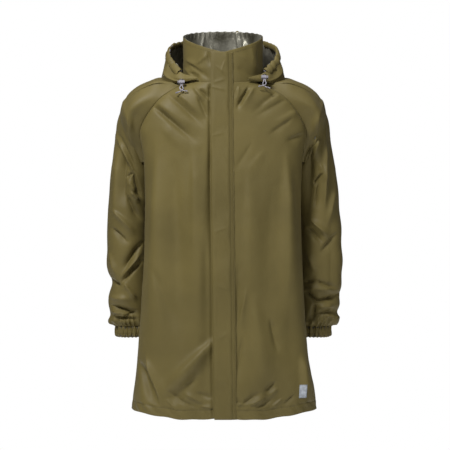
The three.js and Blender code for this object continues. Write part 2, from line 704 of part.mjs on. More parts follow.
const SLIDER_Z = ZIP_TOP - STOP_HEIGHT - SLIDER_LENGTH - 1;
const PIN_Y = -2.1;
function zipSlider() {
  const top = manifoldOf(block(-4.6, 4.6, -0.4, CHAIN_FRONT - RUN, 0, SLIDER_LENGTH));
  const bottom = manifoldOf(block(-4.6, 4.6, CHAIN_BACK + RUN, CHAIN_BACK + RUN + 1.2, 0, SLIDER_LENGTH));
  const post = manifoldOf(block(-0.35, 0.35, 0, CHAIN_BACK + 1, SLIDER_LENGTH - 3, SLIDER_LENGTH));
  const lug = block(-0.5, 0.5, PIN_Y - 0.9, 0, SLIDER_LENGTH - 5, SLIDER_LENGTH - 2);
  const pin = new THREE.CylinderGeometry(0.55, 0.55, 6, 12).rotateZ(Math.PI / 2);
  const slider = top
    .add(bottom)
    .add(post)
    .add(manifoldOf(lug, 2.6))
    .add(manifoldOf(lug, -2.6))
    .add(manifoldOf(pin, 0, PIN_Y, SLIDER_LENGTH - 3.5));
  const geometry = geometryOf(slider).translate(0, 0, SLIDER_Z);
  add("zip_slider", geometry, finish("#4b4a45", 0.4, 0.9), closure);

  const eye = new THREE.CylinderGeometry(1.5, 1.5, 3.4, 16).rotateZ(Math.PI / 2);
  const hole = new THREE.CylinderGeometry(0.95, 0.95, 8, 12).rotateZ(Math.PI / 2);
  const tab = block(-3.2, 3.2, -0.6, 0.6, -27, -4);
  const neck = block(-1.7, 1.7, -0.6, 0.6, -5, -0.9);
  const pull = manifoldOf(eye).add(manifoldOf(neck)).subtract(manifoldOf(hole)).add(manifoldOf(tab));
  const placed = geometryOf(pull).translate(0, PIN_Y, SLIDER_Z + SLIDER_LENGTH - 3.5);
  add("zip_pull", placed, finish("#4b4a45", 0.45, 0.8), closure);
}

// The flap runs a little aslant; across gives a place over it at a height up the closure.
const flapFreeEdge = (z) => lerp(FLAP_EDGE_HEM, FLAP_EDGE_TOP, z / closureLength);
const flapHinge = (z) => flapFreeEdge(z) + FLAP_WIDTH;
function strip(fromX, toX, y0, y1, z0, z1) {
  const corner = (x, y, z) => vec(x(z), y, z);
  const ring = (z) => [
    corner(fromX, y0, z),
    corner(toX, y0, z),
    corner(toX, y1, z),
    corner(fromX, y1, z),
  ];
  return sweep([ring(z0), ring(z1)]);
}

function stormFlap() {
  const inner = -FLAP_STAND_OFF;
  const outer = inner - CLOTH;
  const top = closureLength - 1;
  const flap = strip(flapFreeEdge, flapHinge, outer, inner, 1, top);
  add("storm_flap", flap, shellCloth(), closure);
  const hingeSide = (z) => flapHinge(z) + SEAM_GAP;
  const sewnSide = (z) => flapHinge(z) + SEAM_GAP + FLAP_BASE_WIDTH;
  const base = strip(hingeSide, sewnSide, outer, -SEAM_GAP, 1, top);
  add("flap_base", base, shellCloth(), closure);
  const padDepth = (FLAP_STAND_OFF - 3 * CORD_CLEARANCE) / 2;
  const spacing = (closureLength - 120) / (FASTENER_PAIRS - 1);
  for (let i = 0; i < FASTENER_PAIRS; i += 1) {
    const low = 45 + i * spacing;
    const high = low + 30;
    const from = (z) => flapFreeEdge(z) + 3;
    const to = (z) => flapFreeEdge(z) + 13;
    const hookOuter = inner + CORD_CLEARANCE;
    const hook = strip(from, to, hookOuter, hookOuter + padDepth, low, high);
    add(`flap_hook_pad_${i + 1}`, hook, darkTape(), closure);
    const loop = strip(from, to, -CORD_CLEARANCE - padDepth, -CORD_CLEARANCE, low, high);
    add(`front_loop_pad_${i + 1}`, loop, darkTape(), closure);
  }
}

// ---- hanger loop ----
const LOOP_TAPE_WIDTH = 6;
const LOOP_BACK_Y = NECK_BACK_Y - neckCurve(LOOP_WIDTH / 2) - 4;
const LOOP_BASE_Z = neckBackZ - 6;
function hangerLoop() {
  const half = LOOP_WIDTH / 2;
  const flat = half * 0.55;
  const outline = new THREE.Shape([
    new THREE.Vector2(-half, 0),
    new THREE.Vector2(half, 0),
    new THREE.Vector2(half, TAPE_THICK * 2),
    new THREE.Vector2(flat, LOOP_HEIGHT),
    new THREE.Vector2(-flat, LOOP_HEIGHT),
    new THREE.Vector2(-half, TAPE_THICK * 2),
  ]);
  const inner = half - TAPE_THICK * 2;
  const gap = new THREE.Path([
    new THREE.Vector2(-inner, TAPE_THICK),
    new THREE.Vector2(-flat + 1, LOOP_HEIGHT - TAPE_THICK),
    new THREE.Vector2(flat - 1, LOOP_HEIGHT - TAPE_THICK),
    new THREE.Vector2(inner, TAPE_THICK),
  ]);
  outline.holes.push(gap);
  const tape = new THREE.ExtrudeGeometry(outline, { depth: LOOP_TAPE_WIDTH, bevelEnabled: false });
  tape.rotateX(Math.PI / 2).translate(0, LOOP_BACK_Y, LOOP_BASE_Z);
  add("hanger_loop", tape, darkTape());
}

// ---- hem label, blank ----
function hemLabel() {
  const v = 0.1;
  const s = 0.6;
  const point = frontPoint(v, s);
  const up = frontPoint(v + 0.03, s).sub(point).normalize();
  const across = frontPoint(v, s + 0.03).sub(point).normalize();
  const out = across.clone().cross(up).normalize();
  const label = new THREE.BoxGeometry(LABEL_WIDTH, 0.8, LABEL_HEIGHT);
  const place = new THREE.Matrix4().makeBasis(across, out.clone().negate(), up);
  place.setPosition(point.addScaledVector(out, 1.7));
  add("hem_label", label.applyMatrix4(place), finish("#7d8286", 0.8));
}

// ---- hood adjusters: eyelet, cord lock with its plunger and spring, two cord ends ----
const LOCK_WINDOW = CORD_SPACING / 2 + CORD_DIAMETER / 2 + CORD_CLEARANCE;
const PRESS = 1.4;
const LOCK_Z = 3.4;
const LOCK_Y = 4;
const SHAFT_Y = 2.2;
const SHAFT_Z = 1.9;
const SLOT_Y = CORD_DIAMETER / 2 + CORD_CLEARANCE;
const SHAFT_END = LOCK_WINDOW + 0.8;
const SPRING_SPACE = 2.6;
const BORE_END = SHAFT_END + SPRING_SPACE;
const LOCK_FACE = LOCK_WINDOW + 2.1;

function lockBody() {
  const barrel = manifoldOf(block(-BORE_END - 0.8, LOCK_FACE, -LOCK_Y, LOCK_Y, -LOCK_Z, LOCK_Z));
  const boreY = SHAFT_Y + CORD_CLEARANCE;
  const boreZ = SHAFT_Z + CORD_CLEARANCE;
  const bore = manifoldOf(block(-BORE_END, LOCK_FACE + 1, -boreY, boreY, -boreZ, boreZ));
  const slot = manifoldOf(block(-LOCK_WINDOW, LOCK_WINDOW, -SLOT_Y, SLOT_Y, -LOCK_Z - 1, LOCK_Z + 1));
  return geometryOf(barrel.subtract(bore).subtract(slot));
}

function lockPlunger() {
  const headStart = LOCK_FACE + PRESS + 0.2;
  const shaft = manifoldOf(block(-SHAFT_END, headStart + 0.5, -SHAFT_Y, SHAFT_Y, -SHAFT_Z, SHAFT_Z));
  const head = manifoldOf(block(headStart, headStart + 1.8, -LOCK_Y + 0.4, LOCK_Y - 0.4, -3, 3));
  const window = block(-LOCK_WINDOW, LOCK_WINDOW + PRESS, -SLOT_Y, SLOT_Y, -LOCK_Z, LOCK_Z);
  return geometryOf(shaft.add(head).subtract(manifoldOf(window)));
}

function lockSpring() {
  const wire = 0.25;
  const turns = 3;
  const start = -BORE_END + wire + 0.15;
  const length = SPRING_SPACE - 2 * wire - 0.3;
  const points = steps(30).map((t) => {
    const a = 2 * Math.PI * turns * t;
    return vec(start + length * t, 1.3 * Math.cos(a), 1.3 * Math.sin(a));
  });
  const curve = new THREE.CatmullRomCurve3(points);
  const shape = new THREE.Shape();
  shape.absarc(0, 0, wire, 0, 2 * Math.PI);
  return new THREE.ExtrudeGeometry(shape, { steps: 36, curveSegments: 3, extrudePath: curve });
}

// The adjuster's own frame: x across, y into the chest, z up the cords.
const ADJUSTER = { left: vec(95, -88, BODY_LENGTH + 13), right: vec(-95, -88, BODY_LENGTH + 2) };
const ADJUSTER_LEAN = rad(-28);
const TIP_LENGTH = 6;
const TIP_RADIUS = 1.9;
// The routes of the two cord ends below the eyelet, in the adjuster's frame.
const CORD_TOP = 7.5;
const CORD_OFF = CORD_SPACING / 2;
const STRAIGHT_HEIGHTS = [CORD_TOP, 5, 2.5, 0, -2.5, -5, -6.6, -8];
const cordRoutes = {
  inner: [
    ...STRAIGHT_HEIGHTS.map((z) => [-CORD_OFF, 0, z]),
    [-2.2, -0.2, -11.5], [-3.6, -0.4, -15], [-3.9, -0.6, -18.5], [-2.6, -0.8, -22],
    [0.4, -1, -24.6], [3.6, -1.1, -26.4], [7, -1.2, -28],
  ],
  outer: [
    ...STRAIGHT_HEIGHTS.map((z) => [CORD_OFF, 0, z]),
    [2.2, -0.6, -11.5], [3.4, 1 - CORD_SPACING, -15], [3.4, -CORD_SPACING, -18.5],
    [2, -0.8 - CORD_SPACING, -21.6], [-0.8, -1 - CORD_SPACING, -23.8],
    [-4.4, -0.8 - CORD_SPACING, -24.9], [-8, -0.4 - CORD_SPACING, -25.4],
  ],
};

function cordTip(route) {
  const end = vec(...route[route.length - 1]);
  const before = vec(...route[route.length - 2]);
  const along = end.clone().sub(before).normalize();
  const tip = new THREE.CylinderGeometry(TIP_RADIUS * 0.85, TIP_RADIUS, TIP_LENGTH, 12);
  const turn = new THREE.Quaternion().setFromUnitVectors(vec(0, 1, 0), along);
  tip.applyQuaternion(turn);
  const middle = end.addScaledVector(along, TIP_LENGTH / 2 + CORD_CLEARANCE);
  return tip.translate(middle.x, middle.y, middle.z);
}

function adjusters() {
  for (const [name, side] of [["left", 1], ["right", -1]]) {
    const group = new THREE.Group();
    group.position.copy(ADJUSTER[name]);
    group.rotation.x = ADJUSTER_LEAN;
    garment.add(group);
    const lockGroup = new THREE.Group();
    lockGroup.rotation.z = side > 0 ? 0 : Math.PI;
    group.add(lockGroup);
    add(`lock_body_${name}`, lockBody(), greyPlastic(), lockGroup);
    add(`lock_plunger_${name}`, lockPlunger(), greyPlastic(), lockGroup);
    add(`lock_spring_${name}`, lockSpring(), finish("#b9bcc0", 0.3, 1), lockGroup);
    const hole = CORD_OFF + CORD_DIAMETER / 2 + 0.6;
    const flange = hole + 1.6;
    const ring = [[hole, 0], [flange, 0], [flange, 1], [hole, 1], [hole, 0]];
    const profile = ring.map(([r, z]) => new THREE.Vector2(r, z));
    const eyelet = new THREE.LatheGeometry(profile, 24).rotateX(Math.PI / 2);
    add(`cord_eyelet_${name}`, eyelet.translate(0, 0, 5.2), finish("#55534d", 0.4, 0.9), group);
    for (const [which, route] of Object.entries(cordRoutes)) {
      const placed = route.map(([x, y, z]) => [x * side, y, z]);
      const rings = cordRings(placed.map((p) => vec(...p)), CORD_DIAMETER / 2);
      add(`cord_end_${name}_${which}`, sweep(rings), greyCord(), group);
      add(`cord_tip_${name}_${which}`, cordTip(placed), greyPlastic(), group);
    }
  }
}

fronts();
back();
sleevesAndCuffs();
collar();
hood();
hoodCasing();
zip();
zipSlider();
stormFlap();
hangerLoop();
hemLabel();
adjusters();

// The origin is the middle of the face in the hanger loop that a hook bears on.
garment.position.set(
  0,
  -(LOOP_BACK_Y - LOOP_TAPE_WIDTH / 2),
  -(LOOP_BASE_Z + LOOP_HEIGHT - TAPE_THICK),
);
const jacket = new THREE.Group();
jacket.add(garment);
export default jacket;
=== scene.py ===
"""Hooded raglan rain jacket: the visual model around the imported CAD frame.

Shapes are worked out in millimetres over the hem, as a tailor measures them, and to_row() turns them
into the frame's metres.
"""

import math

import bpy
import numpy as np
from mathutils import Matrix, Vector


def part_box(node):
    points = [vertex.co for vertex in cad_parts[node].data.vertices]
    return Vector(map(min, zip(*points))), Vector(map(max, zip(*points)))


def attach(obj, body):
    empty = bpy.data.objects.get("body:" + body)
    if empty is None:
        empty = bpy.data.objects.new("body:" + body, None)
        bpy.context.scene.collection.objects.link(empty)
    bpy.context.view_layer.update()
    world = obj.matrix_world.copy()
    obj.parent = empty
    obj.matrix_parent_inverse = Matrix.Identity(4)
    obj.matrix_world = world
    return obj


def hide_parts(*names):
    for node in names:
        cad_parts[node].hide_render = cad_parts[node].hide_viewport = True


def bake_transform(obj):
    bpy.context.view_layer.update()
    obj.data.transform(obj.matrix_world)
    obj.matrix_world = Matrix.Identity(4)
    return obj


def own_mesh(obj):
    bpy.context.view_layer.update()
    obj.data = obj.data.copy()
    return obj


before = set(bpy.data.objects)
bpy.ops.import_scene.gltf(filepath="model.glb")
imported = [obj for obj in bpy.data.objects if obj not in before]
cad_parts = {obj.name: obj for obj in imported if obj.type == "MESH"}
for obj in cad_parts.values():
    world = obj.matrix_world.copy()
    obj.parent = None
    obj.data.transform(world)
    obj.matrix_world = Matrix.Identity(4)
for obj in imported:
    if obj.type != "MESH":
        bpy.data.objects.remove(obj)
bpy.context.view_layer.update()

# ---- the CAD's sizes, in millimetres; heights are over the hem ----
CLOTH = 1.2
BODY_LENGTH = 762
ARMHOLE_DEPTH = 177
HEM_HALF_WIDTH = 209
WAIST_HALF_WIDTH = 177
CHEST_HALF_WIDTH = 180
SIDE_SEAM_Y = -15
FRONT_Y_HEM = -150
FRONT_Y_TOP = -100
BACK_Y_HEM = 136
BACK_Y_WAIST = 118
BACK_Y_CHEST = 124
NECK_HALF_WIDTH = 93
NECK_BACK_Y = 80
NECK_RISE = 38
COLLAR_FRONT_HEIGHT = 70
COLLAR_BACK_HEIGHT = 104
SLEEVE_LENGTH = 388
SLEEVE_HALF_WIDTH = 49
SLEEVE_HALF_DEPTH = 61
SLEEVE_Y = 42
CUFF_HALF_WIDTH = 40
CUFF_HALF_DEPTH = 33
CUFF_HEIGHT = 26
HOOD_POUCH_DEPTH = 140
FLAP_WIDTH = 40
FLAP_BASE_WIDTH = 9
FLAP_STAND_OFF = 5
FLAP_EDGE_TOP = -28
FLAP_EDGE_HEM = -19
FRONT_EDGE = 7
TAPE_WIDTH = 13
SIDE_TURN = 108
NECK_FRONT_ANGLE = 60
NECK_BACK_ANGLE = 125
HEM_FOLD = 21
STITCH = 3.0
STITCH_GAP = 1.2
STITCH_PROUD = 0.35  # how far stitches lie out from the cloth's face

UNDERARM_Z = BODY_LENGTH - ARMHOLE_DEPTH
COLLAR_TOP_Z = BODY_LENGTH + COLLAR_FRONT_HEIGHT
CUFF_TOP_Z = UNDERARM_Z - SLEEVE_LENGTH
NECK_BACK_Z = BODY_LENGTH + NECK_RISE

# Where the hem and the neck are in the frame.
HEM_ROW_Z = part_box("storm_flap")[0][2] - 0.0013
NECK_ROW_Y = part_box("collar_outer")[1][1] - (NECK_BACK_Y + CLOTH) / 1000


def to_row(points):
    """Millimetres over the hem to metres in the frame."""
    return np.asarray(points, float) / 1000 + np.array([0, NECK_ROW_Y, HEM_ROW_Z])


def lerp(a, b, t):
    return a + (b - a) * t


def front_line_y(z):
    return lerp(FRONT_Y_HEM, FRONT_Y_TOP, z / COLLAR_TOP_Z)


# ---- camera ----
VIEW_DISTANCE = 3.0
VIEW_X = 4.7
VIEW_HEIGHT = 437
VIEW_ANGLE = math.radians(20.07)


def make_camera():
    data = bpy.data.cameras.new("camera")
    data.angle = VIEW_ANGLE
    data.clip_end = 30
    camera = bpy.data.objects.new("camera", data)
    eye = to_row([VIEW_X, 0, VIEW_HEIGHT])
    camera.location = (eye[0], NECK_ROW_Y - VIEW_DISTANCE, eye[2])
    camera.rotation_euler = (math.pi / 2, 0, 0)
    bpy.context.scene.collection.objects.link(camera)
    bpy.context.scene.camera = camera


make_camera()


# ---- materials ----
def new_material(name, color, roughness, metallic=0.0, sheen=0.0, specular=0.35):
    material = bpy.data.materials.new(name)
    material.use_nodes = True
    shader = material.node_tree.nodes["Principled BSDF"]
    shader.inputs["Base Color"].default_value = (*color, 1)
    shader.inputs["Roughness"].default_value = roughness
    shader.inputs["Metallic"].default_value = metallic
    shader.inputs["Sheen Weight"].default_value = sheen
    shader.inputs["Sheen Roughness"].default_value = 0.45
    shader.inputs["Specular IOR Level"].default_value = specular
    return material


def add_node(material, kind, values=None, links=None):
    """A shader node with its sockets set or linked by name or number."""
    tree = material.node_tree
    node = tree.nodes.new(kind)
    for key, value in (values or {}).items():
        if hasattr(node, str(key)) and not isinstance(key, int):
            setattr(node, key, value)
        else:
            node.inputs[key].default_value = value
    for key, source in (links or {}).items():
        tree.links.new(source, node.inputs[key])
    return node


def place_of(material):
    return add_node(material, "ShaderNodeTexCoord").outputs["Object"]


def noise(material, place, scale, detail=3.0, stretch=None):
    if stretch is not None:
        mapped = add_node(material, "ShaderNodeMapping", {"Scale": stretch}, {"Vector": place})
        place = mapped.outputs["Vector"]
    values = {"Scale": scale, "Detail": detail}
    return add_node(material, "ShaderNodeTexNoise", values, {"Vector": place}).outputs["Fac"]


def weave(material, place, threads):
    """The bumps of a plain weave: bands across and up, in threads per metre."""
    bands = []
    for direction in ("X", "Z"):
        values = {"Scale": threads / 20, "bands_direction": direction}
        bands.append(add_node(material, "ShaderNodeTexWave", values, {"Vector": place}))
    mix = {"operation": "ADD"}
    links = {0: bands[0].outputs["Fac"], 1: bands[1].outputs["Fac"]}
    return add_node(material, "ShaderNodeMath", mix, links).outputs[0]


def ramp(material, factor, low, high, start=0.35, end=0.65):
    node = add_node(material, "ShaderNodeValToRGB", None, {"Fac": factor})
    node.color_ramp.elements[0].position = start
    node.color_ramp.elements[1].position = end
    node.color_ramp.elements[0].color = (*low, 1)
    node.color_ramp.elements[1].color = (*high, 1)
    return node.outputs["Color"]


def value_range(material, factor, low, high):
    values = {"To Min": low, "To Max": high, "From Min": 0.3, "From Max": 0.7}
    return add_node(material, "ShaderNodeMapRange", values, {"Value": factor}).outputs["Result"]


def bumps(material, layers):
    """Stacks (height, strength, distance in metres) bumps and gives them to the shader."""
    shader = material.node_tree.nodes["Principled BSDF"]
    normal = None
    for height, strength, distance in layers:
        links = {"Height": height}
        if normal is not None:
            links["Normal"] = normal
        values = {"Strength": strength, "Distance": distance}
        normal = add_node(material, "ShaderNodeBump", values, links).outputs["Normal"]
    material.node_tree.links.new(normal, shader.inputs["Normal"])


def set_shader(material, name, source):
    shader = material.node_tree.nodes["Principled BSDF"]
    material.node_tree.links.new(source, shader.inputs[name])


OLIVE = (0.128, 0.101, 0.033)


def tint_between(material, factor, color, low, high, start=0.35, end=0.65):
    """Varies the base colour between two shares of a colour."""
    shades = [tuple(min(1.0, c * share) for c in color) for share in (low, high)]
    set_shader(material, "Base Color", ramp(material, factor, *shades, start, end))


def shell_material(name, tint=1.0):
    """Tightly woven, coated polyester: a soft sheen, a fine weave and shallow crinkles."""
    material = new_material(name, OLIVE, 0.55, sheen=0.02, specular=0.2)
    place = place_of(material)
    tint_between(material, noise(material, place, 7, 4), OLIVE, 0.9 * tint, 1.1 * tint)
    set_shader(material, "Roughness", value_range(material, noise(material, place, 30, 3), 0.5, 0.6))
    crinkle = noise(material, place, 26, 4, (1.0, 1.0, 0.6))
    creases = noise(material, place, 90, 2)
    threads = weave(material, place, 2400)
    bumps(material, [(crinkle, 0.25, 0.004), (creases, 0.18, 0.0012), (threads, 0.22, 0.00012)])
    return material


def coated_material(name, low, high, metallic):
    """The coated inner side: silver-grey, shinier, and crinkled."""
    material = new_material(name, high, 0.42, metallic)
    place = place_of(material)
    patches = noise(material, place, 18, 4)
    set_shader(material, "Base Color", ramp(material, patches, low, high))
    crinkle = noise(material, place, 34, 5)
    fine = noise(material, place, 150, 3)
    bumps(material, [(crinkle, 0.5, 0.006), (fine, 0.25, 0.0008)])
    return material


def plain_material(name, color, roughness, metallic=0.0):
    """Moulded plastic, metal or thread: small changes of tone and gloss, and a fine surface."""
    material = new_material(name, color, roughness, metallic)
    place = place_of(material)
    tone = noise(material, place, 60, 4)
    tint_between(material, tone, color, 0.82, 1.15)
    gloss = value_range(material, tone, roughness * 0.85, min(1, roughness * 1.15))
    set_shader(material, "Roughness", gloss)
    bumps(material, [(noise(material, place, 720, 2), 0.25, 0.0004)])
    return material


def woven_material(name, color, threads=1600):
    """Tape, elastic, cord or label: a coarse weave."""
    material = new_material(name, color, 0.8, sheen=0.2)
    place = place_of(material)
    tint_between(material, noise(material, place, 140, 3), color, 0.8, 1.2)
    bumps(material, [(weave(material, place, threads), 0.6, 0.0003)])
    return material


def bristle_material(name, color):
    """Hook-and-loop tape: a dense pile."""
    material = new_material(name, color, 0.9, sheen=0.3)
    place = place_of(material)
    values = {"Scale": 1100.0}
    pile = add_node(material, "ShaderNodeTexVoronoi", values, {"Vector": place}).outputs["Distance"]
    tint_between(material, pile, color, 0.6, 1.0, 0.1, 0.6)
    bumps(material, [(pile, 0.9, 0.0005)])
    return material


SHELL = shell_material("olive_shell")
SHELL_FLAP = shell_material("olive_flap", 0.95)
COATING = coated_material("coated_inner_side", (0.06, 0.056, 0.038), (0.28, 0.27, 0.22), 0.5)
HOOD_INSIDE = coated_material("coated_hood_side", (0.17, 0.16, 0.12), (0.30, 0.285, 0.23), 0.2)
THREAD = plain_material("sewing_thread", (0.08, 0.063, 0.024), 0.7)
TAPE = woven_material("dark_tape", (0.045, 0.04, 0.028))
ELASTIC = woven_material("cuff_elastic", (0.05, 0.045, 0.035), 900)
COIL = plain_material("zip_coil", (0.035, 0.031, 0.022), 0.45)
METAL = plain_material("zip_metal", (0.16, 0.15, 0.13), 0.38, 0.9)
STEEL = plain_material("spring_steel", (0.5, 0.5, 0.5), 0.3, 1.0)
PLASTIC = plain_material("grey_plastic", (0.20, 0.19, 0.215), 0.5)
CORD = woven_material("draw_cord", (0.27, 0.255, 0.29), 2600)
PILE = bristle_material("hook_and_loop", (0.055, 0.05, 0.03))
LABEL = woven_material("label_cloth", (0.36, 0.385, 0.42), 2200)
LABEL_EDGE = woven_material("label_edge", (0.20, 0.23, 0.26), 2200)


# ---- meshes ----
def link(name, mesh, materials):
    piece = bpy.data.objects.new(name, mesh)
    for material in materials:
        mesh.materials.append(material)
    bpy.context.scene.collection.objects.link(piece)
    mesh.polygons.foreach_set("use_smooth", [True] * len(mesh.polygons))
    return piece


def mesh_from(name, points, faces, materials):
    mesh = bpy.data.meshes.new(name)
    mesh.from_pydata([tuple(p) for p in to_row(points)], [], faces)
    mesh.update()
    return link(name, mesh, materials)


def grid_faces(rows, columns, closed, flipped):
    faces = []
    for i in range(rows - 1):
        for j in range(columns if closed else columns - 1):
            k = (j + 1) % columns
            quad = (i * columns + j, i * columns + k, (i + 1) * columns + k, (i + 1) * columns + j)
            faces.append(quad[::-1] if flipped else quad)
    return faces


def thicken(piece, thick, offset=-1, inner=1):
    """Gives a layer its thickness; inner is the step to its inner face's material slot."""
    layer = piece.modifiers.new("layer", "SOLIDIFY")
    layer.thickness = thick / 1000
    layer.offset = offset
    layer.material_offset = inner


def declare(piece, body="root", nodes=()):
    """Says what a piece rides on and which CAD nodes it replaces."""
    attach(piece, body)
    if nodes:
        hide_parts(*nodes)


def cloth_piece(
    name, grid, node, rests_on, held="hung", flipped=False, closed=False, thick=0.9,
    outer=SHELL, inner=COATING, slot="shell_cloth",
):
    """A layer of cloth from its outer face; the coated side is inside."""
    faces = grid_faces(*grid.shape[:2], closed, flipped)
    piece = mesh_from(name, grid.reshape(-1, 3), faces, [outer, inner])
    thicken(piece, thick)
    declare(piece, nodes=[node])


def unit(v):
    return v / np.maximum(np.linalg.norm(v, axis=-1, keepdims=True), 1e-9)


def grid_normals(grid, closed=False):
    """Unit normals of a grid of points, by its neighbours along rows and columns."""
    if closed:
        across = np.roll(grid, -1, 1) - np.roll(grid, 1, 1)
    else:
        across = np.gradient(grid, axis=1)
    return unit(np.cross(across, np.gradient(grid, axis=0)))


# ---- smooth values and curves ----
def through(keys, at):
    """A smooth value that passes through (place, value) keys."""
    xs, ys = (np.array(k, float) for k in zip(*keys))
    slopes = np.gradient(ys, xs)
    slopes[1:-1] = (ys[2:] - ys[:-2]) / (xs[2:] - xs[:-2])
    at = np.clip(np.asarray(at, float), xs[0], xs[-1])
    k = np.clip(np.searchsorted(xs, at, "right") - 1, 0, len(xs) - 2)
    w = xs[k + 1] - xs[k]
    t = (at - xs[k]) / w
    s = 1 - t
    start = ys[k] * (1 + 2 * t) * s * s + slopes[k] * w * t * s * s
    return start + ys[k + 1] * t * t * (3 - 2 * t) - slopes[k + 1] * w * t * t * s


class Curve:
    """A centripetal Catmull-Rom curve through points."""

    def __init__(self, points, fine=60):
        self.points = [np.asarray(p, float) for p in points]
        n = len(self.points)
        self.samples = np.array([self._at(i / fine) for i in range((n - 1) * fine + 1)])
        steps = np.linalg.norm(np.diff(self.samples, axis=0), axis=1)
        self.lengths = np.concatenate([[0], np.cumsum(steps)])
        self.length = self.lengths[-1]

    def _at(self, u):
        p = self.points
        k = min(int(u), len(p) - 2)
        t = u - k
        b, c = p[k], p[k + 1]
        a = p[k - 1] if k > 0 else 2 * b - c
        d = p[k + 2] if k + 2 < len(p) else 2 * c - b
        d0, d1, d2 = (max(np.linalg.norm(y - x) ** 0.5, 1e-4) for x, y in ((a, b), (b, c), (c, d)))
        m1 = ((b - a) / d0 - (c - a) / (d0 + d1) + (c - b) / d1) * d1
        m2 = ((c - b) / d1 - (d - b) / (d1 + d2) + (d - c) / d2) * d1
        t2, t3 = t * t, t * t * t
        start = b * (2 * t3 - 3 * t2 + 1) + m1 * (t3 - 2 * t2 + t)
        return start + c * (3 * t2 - 2 * t3) + m2 * (t3 - t2)

    def at(self, t):
        """By the curve's own parameter, 0 to 1."""
        x = np.asarray(t, float) * (len(self.samples) - 1)
        return self._mix(x)

    def by_length(self, t):
        x = np.interp(np.asarray(t, float) * self.length, self.lengths, np.arange(len(self.samples)))
        return self._mix(x)

    def _mix(self, x):
        k = np.clip(np.floor(x).astype(int), 0, len(self.samples) - 2)
        f = (x - k)[..., None]
        return self.samples[k] * (1 - f) + self.samples[k + 1] * f


def smooth_step(x, low, high):
    t = np.clip((x - low) / (high - low), 0, 1)
    return t * t * (3 - 2 * t)


# ---- folds ----
SOFT_CREST = 2.0  # the power of a wide fold's profile
SHARP_CREST = 1.45  # the power of a narrow fold's profile
SHARP_WIDTH = 12  # the most that a narrow fold's width is


def fold(x, z, start_x, start_z, end_x, end_z, width, height, sharp=0.5):
    """A ridge (or, with a negative height, a valley) along a line from start to end.

    It is steeper on the side to the right of its run, and fades at both ends.
    """
    run = np.array([end_x - start_x, end_z - start_z], float)
    length = np.linalg.norm(run)
    run = run / length
    dx, dz = x - start_x, z - start_z
    along = (dx * run[0] + dz * run[1]) / length
    off = dx * run[1] - dz * run[0]
    wide = np.where(off > 0, width * sharp, width)
    wide = wide * (0.6 + 0.8 * np.clip(along, 0, 1))
    ends = smooth_step(along, -0.15, 0.25) * (1 - smooth_step(along, 0.6, 1.15))
    crest = SOFT_CREST if width > SHARP_WIDTH else SHARP_CREST
    return height * np.exp(-np.abs(off / wide) ** crest) * ends


def folds(x, z, lines):
    total = np.zeros_like(x)
    for line in lines:
        total += fold(x, z, *line)
    return total


WAVES = 9


def soft_noise(x, z, seed, size):
    """Smooth random hills, from a seeded set of waves."""
    rng = np.random.default_rng(seed)
    total = np.zeros_like(x)
    for _ in range(WAVES):
        angle = rng.uniform(0, math.pi)
        wave = size * rng.uniform(0.7, 1.6)
        phase = rng.uniform(0, 2 * math.pi)
        total += np.sin((x * math.cos(angle) + z * math.sin(angle)) * 2 * math.pi / wave + phase)
    return total / WAVES


def bell(x, middle, spread):
    return np.exp(-(((x - middle) / spread) ** 2))


def wandering(x, pitch, sway, sway_pitch):
    """A wave whose peaks wander to and fro."""
    return np.sin(x / pitch + sway * np.sin(x / sway_pitch))


# ---- the jacket's surface ----
NECK_CENTRE_Y = (front_line_y(BODY_LENGTH) + NECK_BACK_Y) / 2
NECK_HALF_DEPTH = NECK_BACK_Y - NECK_CENTRE_Y


def neck_seam(degrees, out=0.0):
    a = np.radians(degrees)
    x = (NECK_HALF_WIDTH + out) * np.sin(a)
    y = NECK_CENTRE_Y - (NECK_HALF_DEPTH + out) * np.cos(a)
    return np.stack([x, y, BODY_LENGTH + NECK_RISE * (1 - np.cos(a)) / 2], -1)


def side_seam_x(z):
    keys = [
        (0, HEM_HALF_WIDTH),
        (UNDERARM_Z * 0.26, lerp(HEM_HALF_WIDTH, WAIST_HALF_WIDTH, 0.55)),
        (UNDERARM_Z * 0.68, WAIST_HALF_WIDTH),
        (UNDERARM_Z, CHEST_HALF_WIDTH),
    ]
    return through(keys, z)


def back_y(z):
    keys = [
        (0, BACK_Y_HEM),
        (UNDERARM_Z * 0.6, BACK_Y_WAIST),
        (UNDERARM_Z + 60, BACK_Y_CHEST),
        (BODY_LENGTH - 20, BACK_Y_CHEST - 20),
        (NECK_BACK_Z, NECK_BACK_Y),
    ]
    return through(keys, z)


underarm = np.array([CHEST_HALF_WIDTH, SIDE_SEAM_Y, UNDERARM_Z], float)
front_raglan = Curve([
    underarm,
    underarm + (7, -14, 30),
    underarm + (12, -38, 72),
    (lerp(CHEST_HALF_WIDTH, NECK_HALF_WIDTH, 0.36), -76, BODY_LENGTH - 38),
    neck_seam(NECK_FRONT_ANGLE),
])
back_raglan = Curve([
    underarm,
    underarm + (4, 48, 36),
    underarm + (-2, 84, 86),
    (lerp(CHEST_HALF_WIDTH, NECK_HALF_WIDTH, 0.35), 98, BODY_LENGTH - 36),
    neck_seam(NECK_BACK_ANGLE),
])


def plan_heading(turn):
    return np.stack([np.cos(np.radians(turn)), np.sin(np.radians(turn))], -1)


def plan_curve(start, end, start_turn, end_turn, start_reach, end_reach, s):
    """A flat cubic, in plan, that leaves along start_turn and arrives along end_turn."""
    a, d = start[..., :2], end[..., :2]
    b = a + plan_heading(start_turn) * start_reach[..., None]
    c = d - plan_heading(end_turn) * end_reach[..., None]
    return cubic(a, b, c, d, s[..., None])


def cubic(a, b, c, d, t):
    r = 1 - t
    return r**3 * a + 3 * r * r * t * b + 3 * r * t * t * c + t**3 * d


